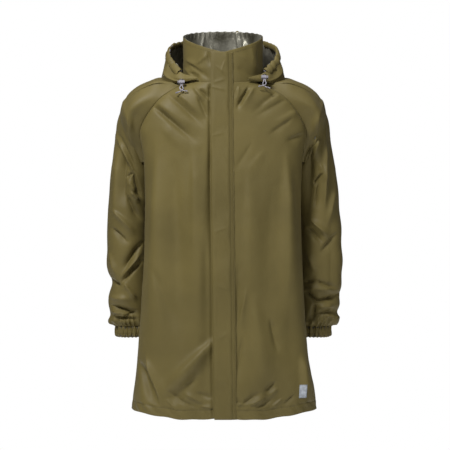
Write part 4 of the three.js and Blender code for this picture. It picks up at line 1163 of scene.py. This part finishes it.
# ---- hood, folded back ----
HOOD_FRONT_ANGLE = 36
SHOULDER = NECK_HALF_WIDTH
HOOD_GUIDES = [
    Curve(neck_seam(np.linspace(HOOD_FRONT_ANGLE, 180, 7), 4) + (0, 0, 4)),
    Curve([
        neck_seam(HOOD_FRONT_ANGLE, 5.6) + (0, 0, 3),
        (SHOULDER + 5, -58, BODY_LENGTH + 27),
        (SHOULDER + 17, -14, BODY_LENGTH + 54),
        (SHOULDER + 20, 30, BODY_LENGTH + 44),
        (SHOULDER, 98, BODY_LENGTH + 10),
        (46, 124, NECK_BACK_Z - HOOD_POUCH_DEPTH * 0.4),
        (0, 132, NECK_BACK_Z - HOOD_POUCH_DEPTH * 0.45),
    ]),
    Curve([
        neck_seam(HOOD_FRONT_ANGLE, 7) + (0, -0.4, 4.5),
        (SHOULDER + 14, -65, BODY_LENGTH + 3),
        (SHOULDER + 49, -12, BODY_LENGTH + 10),
        (SHOULDER + 49, 40, BODY_LENGTH + 20),
        (SHOULDER + 3, 132, NECK_BACK_Z - HOOD_POUCH_DEPTH * 0.5),
        (52, 152, NECK_BACK_Z - HOOD_POUCH_DEPTH * 0.92),
        (0, 156, NECK_BACK_Z - HOOD_POUCH_DEPTH),
    ]),
    Curve([
        neck_seam(HOOD_FRONT_ANGLE, 8) + (0, -0.4, 6.5),
        (SHOULDER + 15, -68, BODY_LENGTH + 13),
        (SHOULDER + 48, -14, BODY_LENGTH + 29),
        (SHOULDER + 41, 50, BODY_LENGTH + 62),
        (SHOULDER + 12, 142, BODY_LENGTH + 44),
        (56, 168, BODY_LENGTH + 20),
        (0, 174, BODY_LENGTH + 10),
    ]),
    Curve([
        neck_seam(HOOD_FRONT_ANGLE, 8) + (0, 0, 9),
        (SHOULDER + 8, -60, BODY_LENGTH + 30),
        (SHOULDER + 35, -10, BODY_LENGTH + 66),
        (SHOULDER + 33, 34, BODY_LENGTH + 94),
        (SHOULDER + 2, 92, BODY_LENGTH + 115),
        (50, 112, BODY_LENGTH + 118),
        (0, 118, BODY_LENGTH + 121),
    ]),
]
PANEL_SPLIT = 0.66
CASING_START = 0.16


RIM_PEAK = 22  # how far the gathered rim stands up behind the collar, left of its middle


def rim_raise(x):
    return RIM_PEAK * bell(x, 34, 32)


def hood_section(along):
    return Curve([guide.at(along) for guide in HOOD_GUIDES], 24)


HOOD_COLUMNS = 420
HOOD_ROWS = 84
UPPER_ROW = 60  # a row in the hood's outer wall
SEAM_START_ROW = 12


def hood_grid():
    """The whole hood: columns round from the left front end to the right one, rows up to the rim."""
    columns = []
    for along in np.linspace(0, 2, HOOD_COLUMNS):
        section = hood_section(min(along, 2 - along)).at(np.linspace(0, 1, HOOD_ROWS))
        columns.append(section * (-1, 1, 1) if along > 1 else section)
    grid = np.array(columns).transpose(1, 0, 2)
    near_rim = smooth_step(np.linspace(0, 1, HOOD_ROWS), 0.72, 1)[:, None]
    grid[..., 2] += rim_raise(grid[..., 0]) * near_rim * (grid[..., 1] > NECK_BACK_Y)
    return grid


HOOD_ARC = 330  # half of the hood's run round the neck
HOOD_HEIGHT = 150
# Across is the run from the left front end, and up is from the neck seam to the rim.
HOOD_FOLDS = [
    (120, 40, 200, 120, 12, 4.5), (210, 30, 250, 110, 14, -4.5),
    (290, 40, 300, 130, 16, 5.0), (372, 130, 396, 50, 20, -3.4, 0.9),
    (430, 30, 400, 110, 14, 4.5), (520, 40, 450, 120, 12, -4.0),
    (40, 90, 120, 130, 8, 3.4), (620, 90, 540, 130, 8, 3.4),
    (240, 60, 420, 66, 12, 4.0, 0.4), (250, 86, 410, 80, 12, -3.6, 0.4),
]


def hood_shape(grid):
    """Soft folds that run up to the gathered rim, and slack in the pouch."""
    rows, count = grid.shape[:2]
    up, along = np.meshgrid(np.linspace(0, 1, rows), np.linspace(0, 2, count), indexing="ij")
    arc = along * HOOD_ARC
    height = up * HOOD_HEIGHT
    lift = 1.3 * wandering(arc, 2.3, 1.8, 21) * smooth_step(up, 0.82, 1.0)
    lift += 2.6 * wandering(arc, 8.5, 2.0, 50) * smooth_step(up, 0.55, 0.95)
    lift += folds(arc, height, HOOD_FOLDS) * smooth_step(up, 0.25, 0.5)
    lift += 1.4 * soft_noise(arc, height, 71, 60) * smooth_step(up, 0.1, 0.4)
    return lift * smooth_step(along, 0.02, 0.2) * (1 - smooth_step(along, 1.8, 1.98))


def hood():
    base = hood_grid()
    normal = grid_normals(base)
    centre = base.reshape(-1, 3).mean(0)
    if np.mean(np.sum((base[UPPER_ROW] - centre) * normal[UPPER_ROW], -1)) < 0:
        normal = -normal
    shaped = base + normal * hood_shape(base)[..., None]
    left = int(PANEL_SPLIT / 2 * HOOD_COLUMNS)
    right = HOOD_COLUMNS - left
    spans = {"left": (0, left + 1), "centre": (left - 1, right + 1), "right": (right - 1, HOOD_COLUMNS)}
    for name, (start, stop) in spans.items():
        part = shaped[:, start:stop]
        look = {"thick": 0.8, "inner": HOOD_INSIDE}
        node = f"hood_panel_{name}"
        cloth_piece(f"hood_cloth_{name}", part, node, ["collar_cloth"], "gathered", **look)
    proud = shaped + normal * STITCH_PROUD
    columns = [seam + off for seam in (left, right) for off in (-3, 3)]
    stitched_lines("hood_stitching", [proud[SEAM_START_ROW:, column] for column in columns])


def rim_frames(count):
    """Points of the hood's rim with the ways out of the hood and up its wall."""
    points, outs, ups = [], [], []
    for along in np.linspace(CASING_START, 2 - CASING_START, count):
        folded = min(along, 2 - along)
        side = -1 if along > 1 else 1
        section = hood_section(folded)
        point = section.at(1.0)
        up = unit(point - section.at(0.94))
        later, sooner = (HOOD_GUIDES[-1].at(np.clip(folded + d, 0, 1)) for d in (0.01, -0.01))
        run = unit(later - sooner)
        out = unit(np.cross(run, up))
        up = unit(np.cross(out, run))
        flip = np.array([side, 1, 1])
        point = point * flip
        if point[1] > NECK_BACK_Y:
            point[2] += rim_raise(point[0])
        points.append(point)
        outs.append(out * flip)
        ups.append(up * flip)
    return np.array(points), np.array(outs), np.array(ups)


CASING_COLUMNS = 620
CASING_SIDES = 18
CASING_HALF_WIDTH = 3.6
CASING_HALF_HEIGHT = 8.6


def casing_rings(points, outs, ups):
    """The rings of the tunnel's section, pleated along its run."""
    length = run_lengths(points)
    wave = length / 1.9 + 2.6 * np.sin(length / 17) + 1.8 * np.sin(length / 7.3 + 1)
    pleat = 1 - 2 * np.abs(np.sin(wave / 2)) ** 0.8
    pleat = pleat * (0.55 + 0.45 * wandering(length, 11.0, 2, 40))
    scallop = 1.5 * wandering(length, 3.4, 2.2, 21) * (0.6 + 0.4 * np.sin(length / 33))
    rings = []
    for k in range(CASING_SIDES):
        a = 2 * math.pi * k / CASING_SIDES
        out = (CASING_HALF_WIDTH + 0.5 * math.cos(2 * a)) * math.cos(a)
        up = CASING_HALF_HEIGHT * math.sin(a) - 0.4
        press = 1.25 * pleat * (1.0 if out > 0 else 0.8)
        x = out * (1 + press * 0.28)
        y = up + 0.75 * pleat * np.sign(up) + 0.9 * np.sin(length / 14.0) + scallop
        rings.append(points + outs * x[:, None] + ups * y[:, None])
    return np.array(rings).transpose(1, 0, 2)


def hood_casing():
    """The tunnel along the rim: flattened, gathered and a little twisted by its cords."""
    points, outs, ups = rim_frames(CASING_COLUMNS)
    grid = casing_rings(points, outs, ups)
    faces = grid_faces(*grid.shape[:2], True, False)
    piece = mesh_from("hood_casing_cloth", grid.reshape(-1, 3), faces, [SHELL, COATING])
    thicken(piece, 0.6, inner=0)
    declare(piece, nodes=["hood_casing"])
    stitched_lines("casing_stitching", [points + outs * 4.3 + ups * -6.6])


# ---- closure: z runs up the closure line and -y is outward ----
CLOSURE_LENGTH = math.hypot(COLLAR_TOP_Z, FRONT_Y_TOP - FRONT_Y_HEM)
CLOSURE_TILT = math.atan2(FRONT_Y_TOP - FRONT_Y_HEM, COLLAR_TOP_Z)


def on_closure(points):
    """From the closure's own directions to millimetres over the hem."""
    p = np.asarray(points, float)
    c, s = math.cos(CLOSURE_TILT), math.sin(CLOSURE_TILT)
    y = FRONT_Y_HEM + p[..., 1] * c + p[..., 2] * s
    return np.stack([p[..., 0], y, -p[..., 1] * s + p[..., 2] * c], -1)


def flap_free_edge(z):
    return lerp(FLAP_EDGE_HEM, FLAP_EDGE_TOP, z / CLOSURE_LENGTH)


FLAP_CREASES = [
    (-26, 752, 8, 744, 4, 1.5), (-20, 762, 6, 770, 4, 1.3),
    (-16, 800, 10, 778, 5, 1.4), (4, 812, -6, 780, 5, 1.2),
    (-24, 640, 4, 648, 5, 0.9), (-20, 420, 10, 432, 5, 0.9),
    (-14, 300, 14, 290, 6, 1.0), (-10, 180, 16, 196, 6, 1.0),
    (-12, 90, 12, 80, 6, 1.0),
]
FLAP_FULL_WIDTH = FLAP_WIDTH + FLAP_BASE_WIDTH + 0.6
FLAP_OUTER_Y = -FLAP_STAND_OFF - CLOTH
FLAP_STITCH_ROWS = (1.6, 8.4)  # from the sewn edge
FLAP_ROWS = 420
SEWN_SHARES = np.linspace(0.94, 1, 5)
FLAP_SHARES = np.concatenate([np.linspace(0, 0.06, 5), np.linspace(0.08, 0.92, 40), SEWN_SHARES])


def flap_grid():
    """The flap in the closure's own directions, settling onto the front along its free edge."""
    heights = np.linspace(0.5, CLOSURE_LENGTH - 0.5, FLAP_ROWS)
    z, share = np.meshgrid(heights, FLAP_SHARES, indexing="ij")
    from_free = FLAP_FULL_WIDTH * share
    from_sewn = FLAP_FULL_WIDTH * (1 - share)
    x = flap_free_edge(z) + from_free
    y = FLAP_OUTER_Y + (FLAP_STAND_OFF - 0.4) * (1 - smooth_step(from_sewn, 0.5, 15))
    y += 1.6 * (1 - smooth_step(from_free, 0, 7)) * (0.6 + 0.4 * np.sin(z / 37))
    ripple = 0.9 * wandering(z, 21, 1.2, 63) * smooth_step(from_sewn, 9, 16)
    small = 0.5 * np.sin(z / 6.5 + x / 5 + 2 * np.sin(z / 44)) * (1 - smooth_step(from_sewn, 10, 26))
    y -= (ripple + small) * smooth_step(from_free, 1, 10)
    for row in FLAP_STITCH_ROWS:
        y += 0.6 * bell(from_sewn, row, 1.2)
    return np.stack([x, y - folds(x, z, FLAP_CREASES), z], -1)


def storm_flap():
    """The flap over the zip, sewn down along its base."""
    flat = flap_grid()
    grid = on_closure(flat)
    faces = grid_faces(*grid.shape[:2], False, False)
    piece = mesh_from("storm_flap_cloth", grid.reshape(-1, 3), faces, [SHELL_FLAP, COATING])
    thicken(piece, 1.1)
    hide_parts("storm_flap", "flap_base")
    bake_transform(piece)
    lines = []
    for back in FLAP_STITCH_ROWS:
        column = int(np.argmin(np.abs(FLAP_FULL_WIDTH * (1 - FLAP_SHARES) - back)))
        lines.append(on_closure(flat[:, column] - (0, 0.25, 0)))
    stitched_lines("flap_stitching", lines)


TOOTH_PITCH = 1.9
TOOTH_HALF_WIRE = 0.36
COIL_FOOT = 49.0
COIL_TOP = CLOSURE_LENGTH - 13.5
# A bent tooth seen from above: across from the zip's middle and back from the closure's face.
TOOTH_OUTLINE = [
    (2.9, 0.9), (0.9, 0.9), (0.45, 1.5), (0.45, 2.6), (0.9, 3.1),
    (2.9, 3.1), (2.9, 2.3), (1.5, 2.3), (1.5, 1.7), (2.9, 1.7),
]


def zip_teeth():
    """The coils: one bent tooth of each side after the other, all the way up."""
    for name, side in (("left", 1), ("right", -1)):
        points, faces = [], []
        for i in range(int((COIL_TOP - COIL_FOOT) / TOOTH_PITCH)):
            z = COIL_FOOT + i * TOOTH_PITCH + (0 if side > 0 else TOOTH_PITCH / 2)
            add_tooth(points, faces, side, z)
        teeth = mesh_from(f"zip_teeth_{name}", on_closure(np.array(points)), faces, [COIL])
        declare(teeth, nodes=[f"zip_coil_{name}"])


def add_tooth(points, faces, side, z):
    base = len(points)
    n = len(TOOTH_OUTLINE)
    for dz in (-TOOTH_HALF_WIRE, TOOTH_HALF_WIRE):
        for x, y in TOOTH_OUTLINE:
            points.append((x * side, y, z + dz))
    for k in range(n):
        m = (k + 1) % n
        faces.append((base + k, base + m, base + n + m, base + n + k)[:: side])
    for a, b, c, d in ((0, 1, 8, 9), (1, 2, 3, 8), (3, 4, 7, 8), (4, 5, 6, 7)):
        faces.append((base + a, base + b, base + c, base + d)[:: -side])
        faces.append((base + n + a, base + n + b, base + n + c, base + n + d)[:: side])


# ---- hem label: blank, with a woven border ----
LABEL_WIDTH = 18.5
LABEL_HEIGHT = 29
LABEL_SLANT = 0.07
LABEL_LIE = 1.0  # how far the label's middle lies in front of the cloth


def cloth_y_at(cloth, x, z):
    """How far back the cloth's outer face is at a place seen from the front."""
    flat = cloth.reshape(-1, 3)
    away = (flat[:, 0] - x) ** 2 + (flat[:, 2] - z) ** 2
    near = np.argsort(away)[:9]
    weight = 1 / (away[near] + 1)
    return float((flat[near, 1] * weight).sum() / weight.sum())


LABEL_COLUMNS = 22
LABEL_ROWS = 28


def hem_label(cloth):
    """A woven label that lies on the cloth, sewn down along its top edge."""
    low, high = (np.array(p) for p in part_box("hem_label"))
    middle = ((low + high) / 2 - to_row([0, 0, 0])) * 1000
    near = cloth[(np.abs(cloth[..., 0] - middle[0]) < 40) & (cloth[..., 2] < 130)]
    slope = cloth_slope(near, middle)
    points = []
    for i in range(LABEL_ROWS + 1):
        for j in range(LABEL_COLUMNS + 1):
            u, v = j / LABEL_COLUMNS - 0.5, i / LABEL_ROWS - 0.5
            x = middle[0] + u * LABEL_WIDTH * slope + v * LABEL_HEIGHT * LABEL_SLANT
            z = middle[2] + v * LABEL_HEIGHT
            lie = LABEL_LIE + 0.5 * math.cos(v * 4) + 0.25 * math.sin(v * 9 + u * 4)
            points.append((x, cloth_y_at(near, x, z) - lie, z))
    faces = grid_faces(LABEL_ROWS + 1, LABEL_COLUMNS + 1, False, False)
    piece = mesh_from("hem_label_cloth", points, faces, [LABEL, LABEL_EDGE])
    for k, polygon in enumerate(piece.data.polygons):
        i, j = divmod(k, LABEL_COLUMNS)
        on_edge = i in (1, LABEL_ROWS - 2) or j in (1, LABEL_COLUMNS - 2)
        polygon.material_index = 1 if on_edge else 0
    thicken(piece, 0.6, offset=0, inner=0)
    declare(piece, nodes=["hem_label"])


def cloth_slope(near, middle):
    """The share of a width that is left when the cloth turns away from the front."""
    reach = 9
    ahead = cloth_y_at(near, middle[0] + reach, middle[2])
    behind = cloth_y_at(near, middle[0] - reach, middle[2])
    return math.cos(math.atan2(ahead - behind, 2 * reach))


# ---- hood adjusters ----
ADJUSTERS = {"left": (95, -88, BODY_LENGTH + 13), "right": (-95, -88, BODY_LENGTH + 2)}
ADJUSTER_LEAN = math.radians(-28)
CORD_DIAMETER = 2.4
CORD_OFF = 1.4  # from the eyelet's middle to each cord's middle
# The cord ends in the adjuster's own directions: the heights of the straight stretch through the
# eyelet and the lock, and the points of each free end below it.
CORD_STRAIGHT = (7.5, 5, 2.5, 0, -2.5, -5, -6.6, -8)
CORD_ENDS = {
    "inner": [
        (-2.2, -0.2, -11.5), (-3.6, -0.4, -15), (-3.9, -0.6, -18.5), (-2.6, -0.8, -22),
        (0.4, -1, -24.6), (3.6, -1.1, -26.4), (7, -1.2, -28),
    ],
    "outer": [
        (2.2, -0.6, -11.5), (3.4, -1.8, -15), (3.4, -2.8, -18.5), (2, -3.6, -21.6),
        (-0.8, -3.8, -23.8), (-4.4, -3.6, -24.9), (-8, -3.2, -25.4),
    ],
}


def adjuster_point(name, point):
    """From an adjuster's own directions to its place in the frame, in metres."""
    side = 1 if name == "left" else -1
    x, y, z = (value / 1000 for value in point)
    c, s = math.cos(ADJUSTER_LEAN), math.sin(ADJUSTER_LEAN)
    return to_row(ADJUSTERS[name]) + np.array([x * side, y * c - z * s, y * s + z * c])


def cord_end(name, which, off):
    route = [(off, 0, z) for z in CORD_STRAIGHT] + CORD_ENDS[which]
    points = [adjuster_point(name, p) for p in route]
    smooth = Curve([p * 1000 for p in points], 12).samples / 1000
    curve = bpy.data.curves.new(f"cord_{name}_{which}", "CURVE")
    curve.dimensions = "3D"
    spline = curve.splines.new("POLY")
    spline.points.add(len(smooth) - 1)
    for k, p in enumerate(smooth):
        spline.points[k].co = (*p, 1)
    curve.bevel_depth = CORD_DIAMETER / 2000
    curve.bevel_resolution = 4
    curve.use_fill_caps = True
    piece = bpy.data.objects.new(f"cord_{name}_{which}", curve)
    curve.materials.append(CORD)
    bpy.context.scene.collection.objects.link(piece)
    declare(piece, nodes=[f"cord_end_{name}_{which}"])


def cord_ends():
    for name in ("left", "right"):
        cord_end(name, "inner", -CORD_OFF)
        cord_end(name, "outer", CORD_OFF)


SPRING_START = -6.15  # where the lock's spring rests, from the cords
SPRING_LENGTH = 2.3
SPRING_RADIUS = 1.3
SPRING_WIRE = 0.25
SPRING_TURNS = 3


SPRING_STEPS = 90
WIRE_SIDES = 8


def spring_points():
    """The wire's rings, from the fixed end to the plunger."""
    points = []
    for i in range(SPRING_STEPS):
        t = i / (SPRING_STEPS - 1)
        turn = 2 * math.pi * SPRING_TURNS * t
        middle = SPRING_START + SPRING_WIRE + (SPRING_LENGTH - 2 * SPRING_WIRE) * t
        for k in range(WIRE_SIDES):
            a = 2 * math.pi * k / WIRE_SIDES
            radius = SPRING_RADIUS + SPRING_WIRE * math.cos(a)
            x = middle + SPRING_WIRE * math.sin(a)
            points.append((x, radius * math.cos(turn), radius * math.sin(turn)))
    return points


def lock_springs():
    """The coil spring behind each plunger, at its rest length."""
    for name, side in (("left", 1), ("right", -1)):
        placed = [tuple(adjuster_point(name, p)) for p in spring_points()]
        faces = grid_faces(SPRING_STEPS, WIRE_SIDES, True, side < 0)
        faces.append(tuple(range(WIRE_SIDES)))
        faces.append(tuple((SPRING_STEPS - 1) * WIRE_SIDES + k for k in range(WIRE_SIDES)))
        mesh = bpy.data.meshes.new(f"lock_coil_{name}")
        mesh.from_pydata(placed, [], faces)
        piece = link(f"lock_coil_{name}", mesh, [STEEL])
        declare(piece, f"cord_lock_{name}", [f"lock_spring_{name}"])
        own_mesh(piece)


# The looks of the CAD pieces that are kept, by how their names start.
LOOKS = {
    "cuff_elastic": ELASTIC,
    "zip_tape": TAPE,
    "zip_top_stop": METAL,
    "zip_retainer_box": COIL,
    "zip_slider": METAL,
    "zip_pull": METAL,
    "flap_hook_pad": PILE,
    "front_loop_pad": PILE,
    "hanger_loop": TAPE,
    "lock_body": PLASTIC,
    "lock_plunger": PLASTIC,
    "cord_eyelet": METAL,
    "cord_tip": PLASTIC,
    "hood_drawcord": CORD,
}
# How far their edges are rounded, in metres.
ROUNDED = {
    "lock_body": 0.0007,
    "lock_plunger": 0.0006,
    "zip_slider": 0.0003,
    "zip_pull": 0.0004,
    "hanger_loop": 0.0003,
    "zip_retainer_box": 0.0003,
    "cord_tip": 0.0004,
}
SHARP_EDGE = math.radians(40)


def finish_small_parts():
    """CAD pieces whose shape is right: rounded edges and their own materials."""
    for name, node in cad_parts.items():
        for start, material in LOOKS.items():
            if name.startswith(start):
                for slot in node.material_slots:
                    slot.material = material
        for start, radius in ROUNDED.items():
            if name.startswith(start):
                bevel = node.modifiers.new("rounded", "BEVEL")
                bevel.width = radius
                bevel.segments = 3
                bevel.limit_method = "ANGLE"
                bevel.angle_limit = SHARP_EDGE


# ---- stage ----
FLOOR_DROP = 0.5  # how far the floor is below the hem, in metres
FLOOR_HALF_SIZE = 2.1
FLOOR_GLOW = 0.4
WORLD_GLOW = 0.08
LIGHT_AIM = (0, 0, -0.45)
# Each light's place and size in metres, and its power in watts.
LIGHTS = {
    "key": ((-0.8, -1.6, 1.4), 0.55, 62),
    "fill": ((1.8, -2.6, 0.7), 1.2, 14),
    "top": ((0.0, -0.2, 2.2), 1.6, 20),
    "back": ((0.0, 3.0, -0.2), 1.4, 36),
}


def stage():
    """A pale floor and soft lights; the backdrop is white, and dimmer as a light than it looks."""
    pale = new_material("pale_floor", (0.9, 0.9, 0.9), 0.9)
    shader = pale.node_tree.nodes["Principled BSDF"]
    shader.inputs["Emission Color"].default_value = (1, 1, 1, 1)
    shader.inputs["Emission Strength"].default_value = FLOOR_GLOW
    floor = bpy.data.meshes.new("floor")
    size, low = FLOOR_HALF_SIZE, HEM_ROW_Z - FLOOR_DROP
    corners = [(-size, -size, low), (size, -size, low), (size, size, low), (-size, size, low)]
    floor.from_pydata(corners, [], [(0, 1, 2, 3)])
    link("floor", floor, [pale])
    studio_world()
    for name, (place, size, power) in LIGHTS.items():
        light(name, place, size, power)
    bpy.context.scene.view_settings.view_transform = "Standard"


def studio_world():
    world = bpy.data.worlds.new("studio")
    world.use_nodes = True
    tree = world.node_tree
    seen = tree.nodes["Background"]
    seen.inputs["Color"].default_value = (1, 1, 1, 1)
    glow = tree.nodes.new("ShaderNodeBackground")
    glow.inputs["Color"].default_value = (1, 1, 1, 1)
    glow.inputs["Strength"].default_value = WORLD_GLOW
    path = tree.nodes.new("ShaderNodeLightPath")
    mix = tree.nodes.new("ShaderNodeMixShader")
    tree.links.new(path.outputs["Is Camera Ray"], mix.inputs[0])
    tree.links.new(glow.outputs[0], mix.inputs[1])
    tree.links.new(seen.outputs[0], mix.inputs[2])
    tree.links.new(mix.outputs[0], tree.nodes["World Output"].inputs["Surface"])
    bpy.context.scene.world = world


def light(name, place, size, power):
    data = bpy.data.lights.new(name, "AREA")
    data.shape = "SQUARE"
    data.size = size
    data.energy = power
    lamp = bpy.data.objects.new(name, data)
    lamp.location = place
    aim = Vector(LIGHT_AIM) - Vector(place)
    lamp.rotation_euler = aim.to_track_quat("-Z", "Y").to_euler()
    bpy.context.scene.collection.objects.link(lamp)


cord_ends()
lock_springs()
collar()
collar_lining()
left_front = front_panels()
back_panel()
sleeves()
cuffs()
hood()
hood_casing()
storm_flap()
zip_teeth()
hem_label(left_front)
finish_small_parts()
stage()
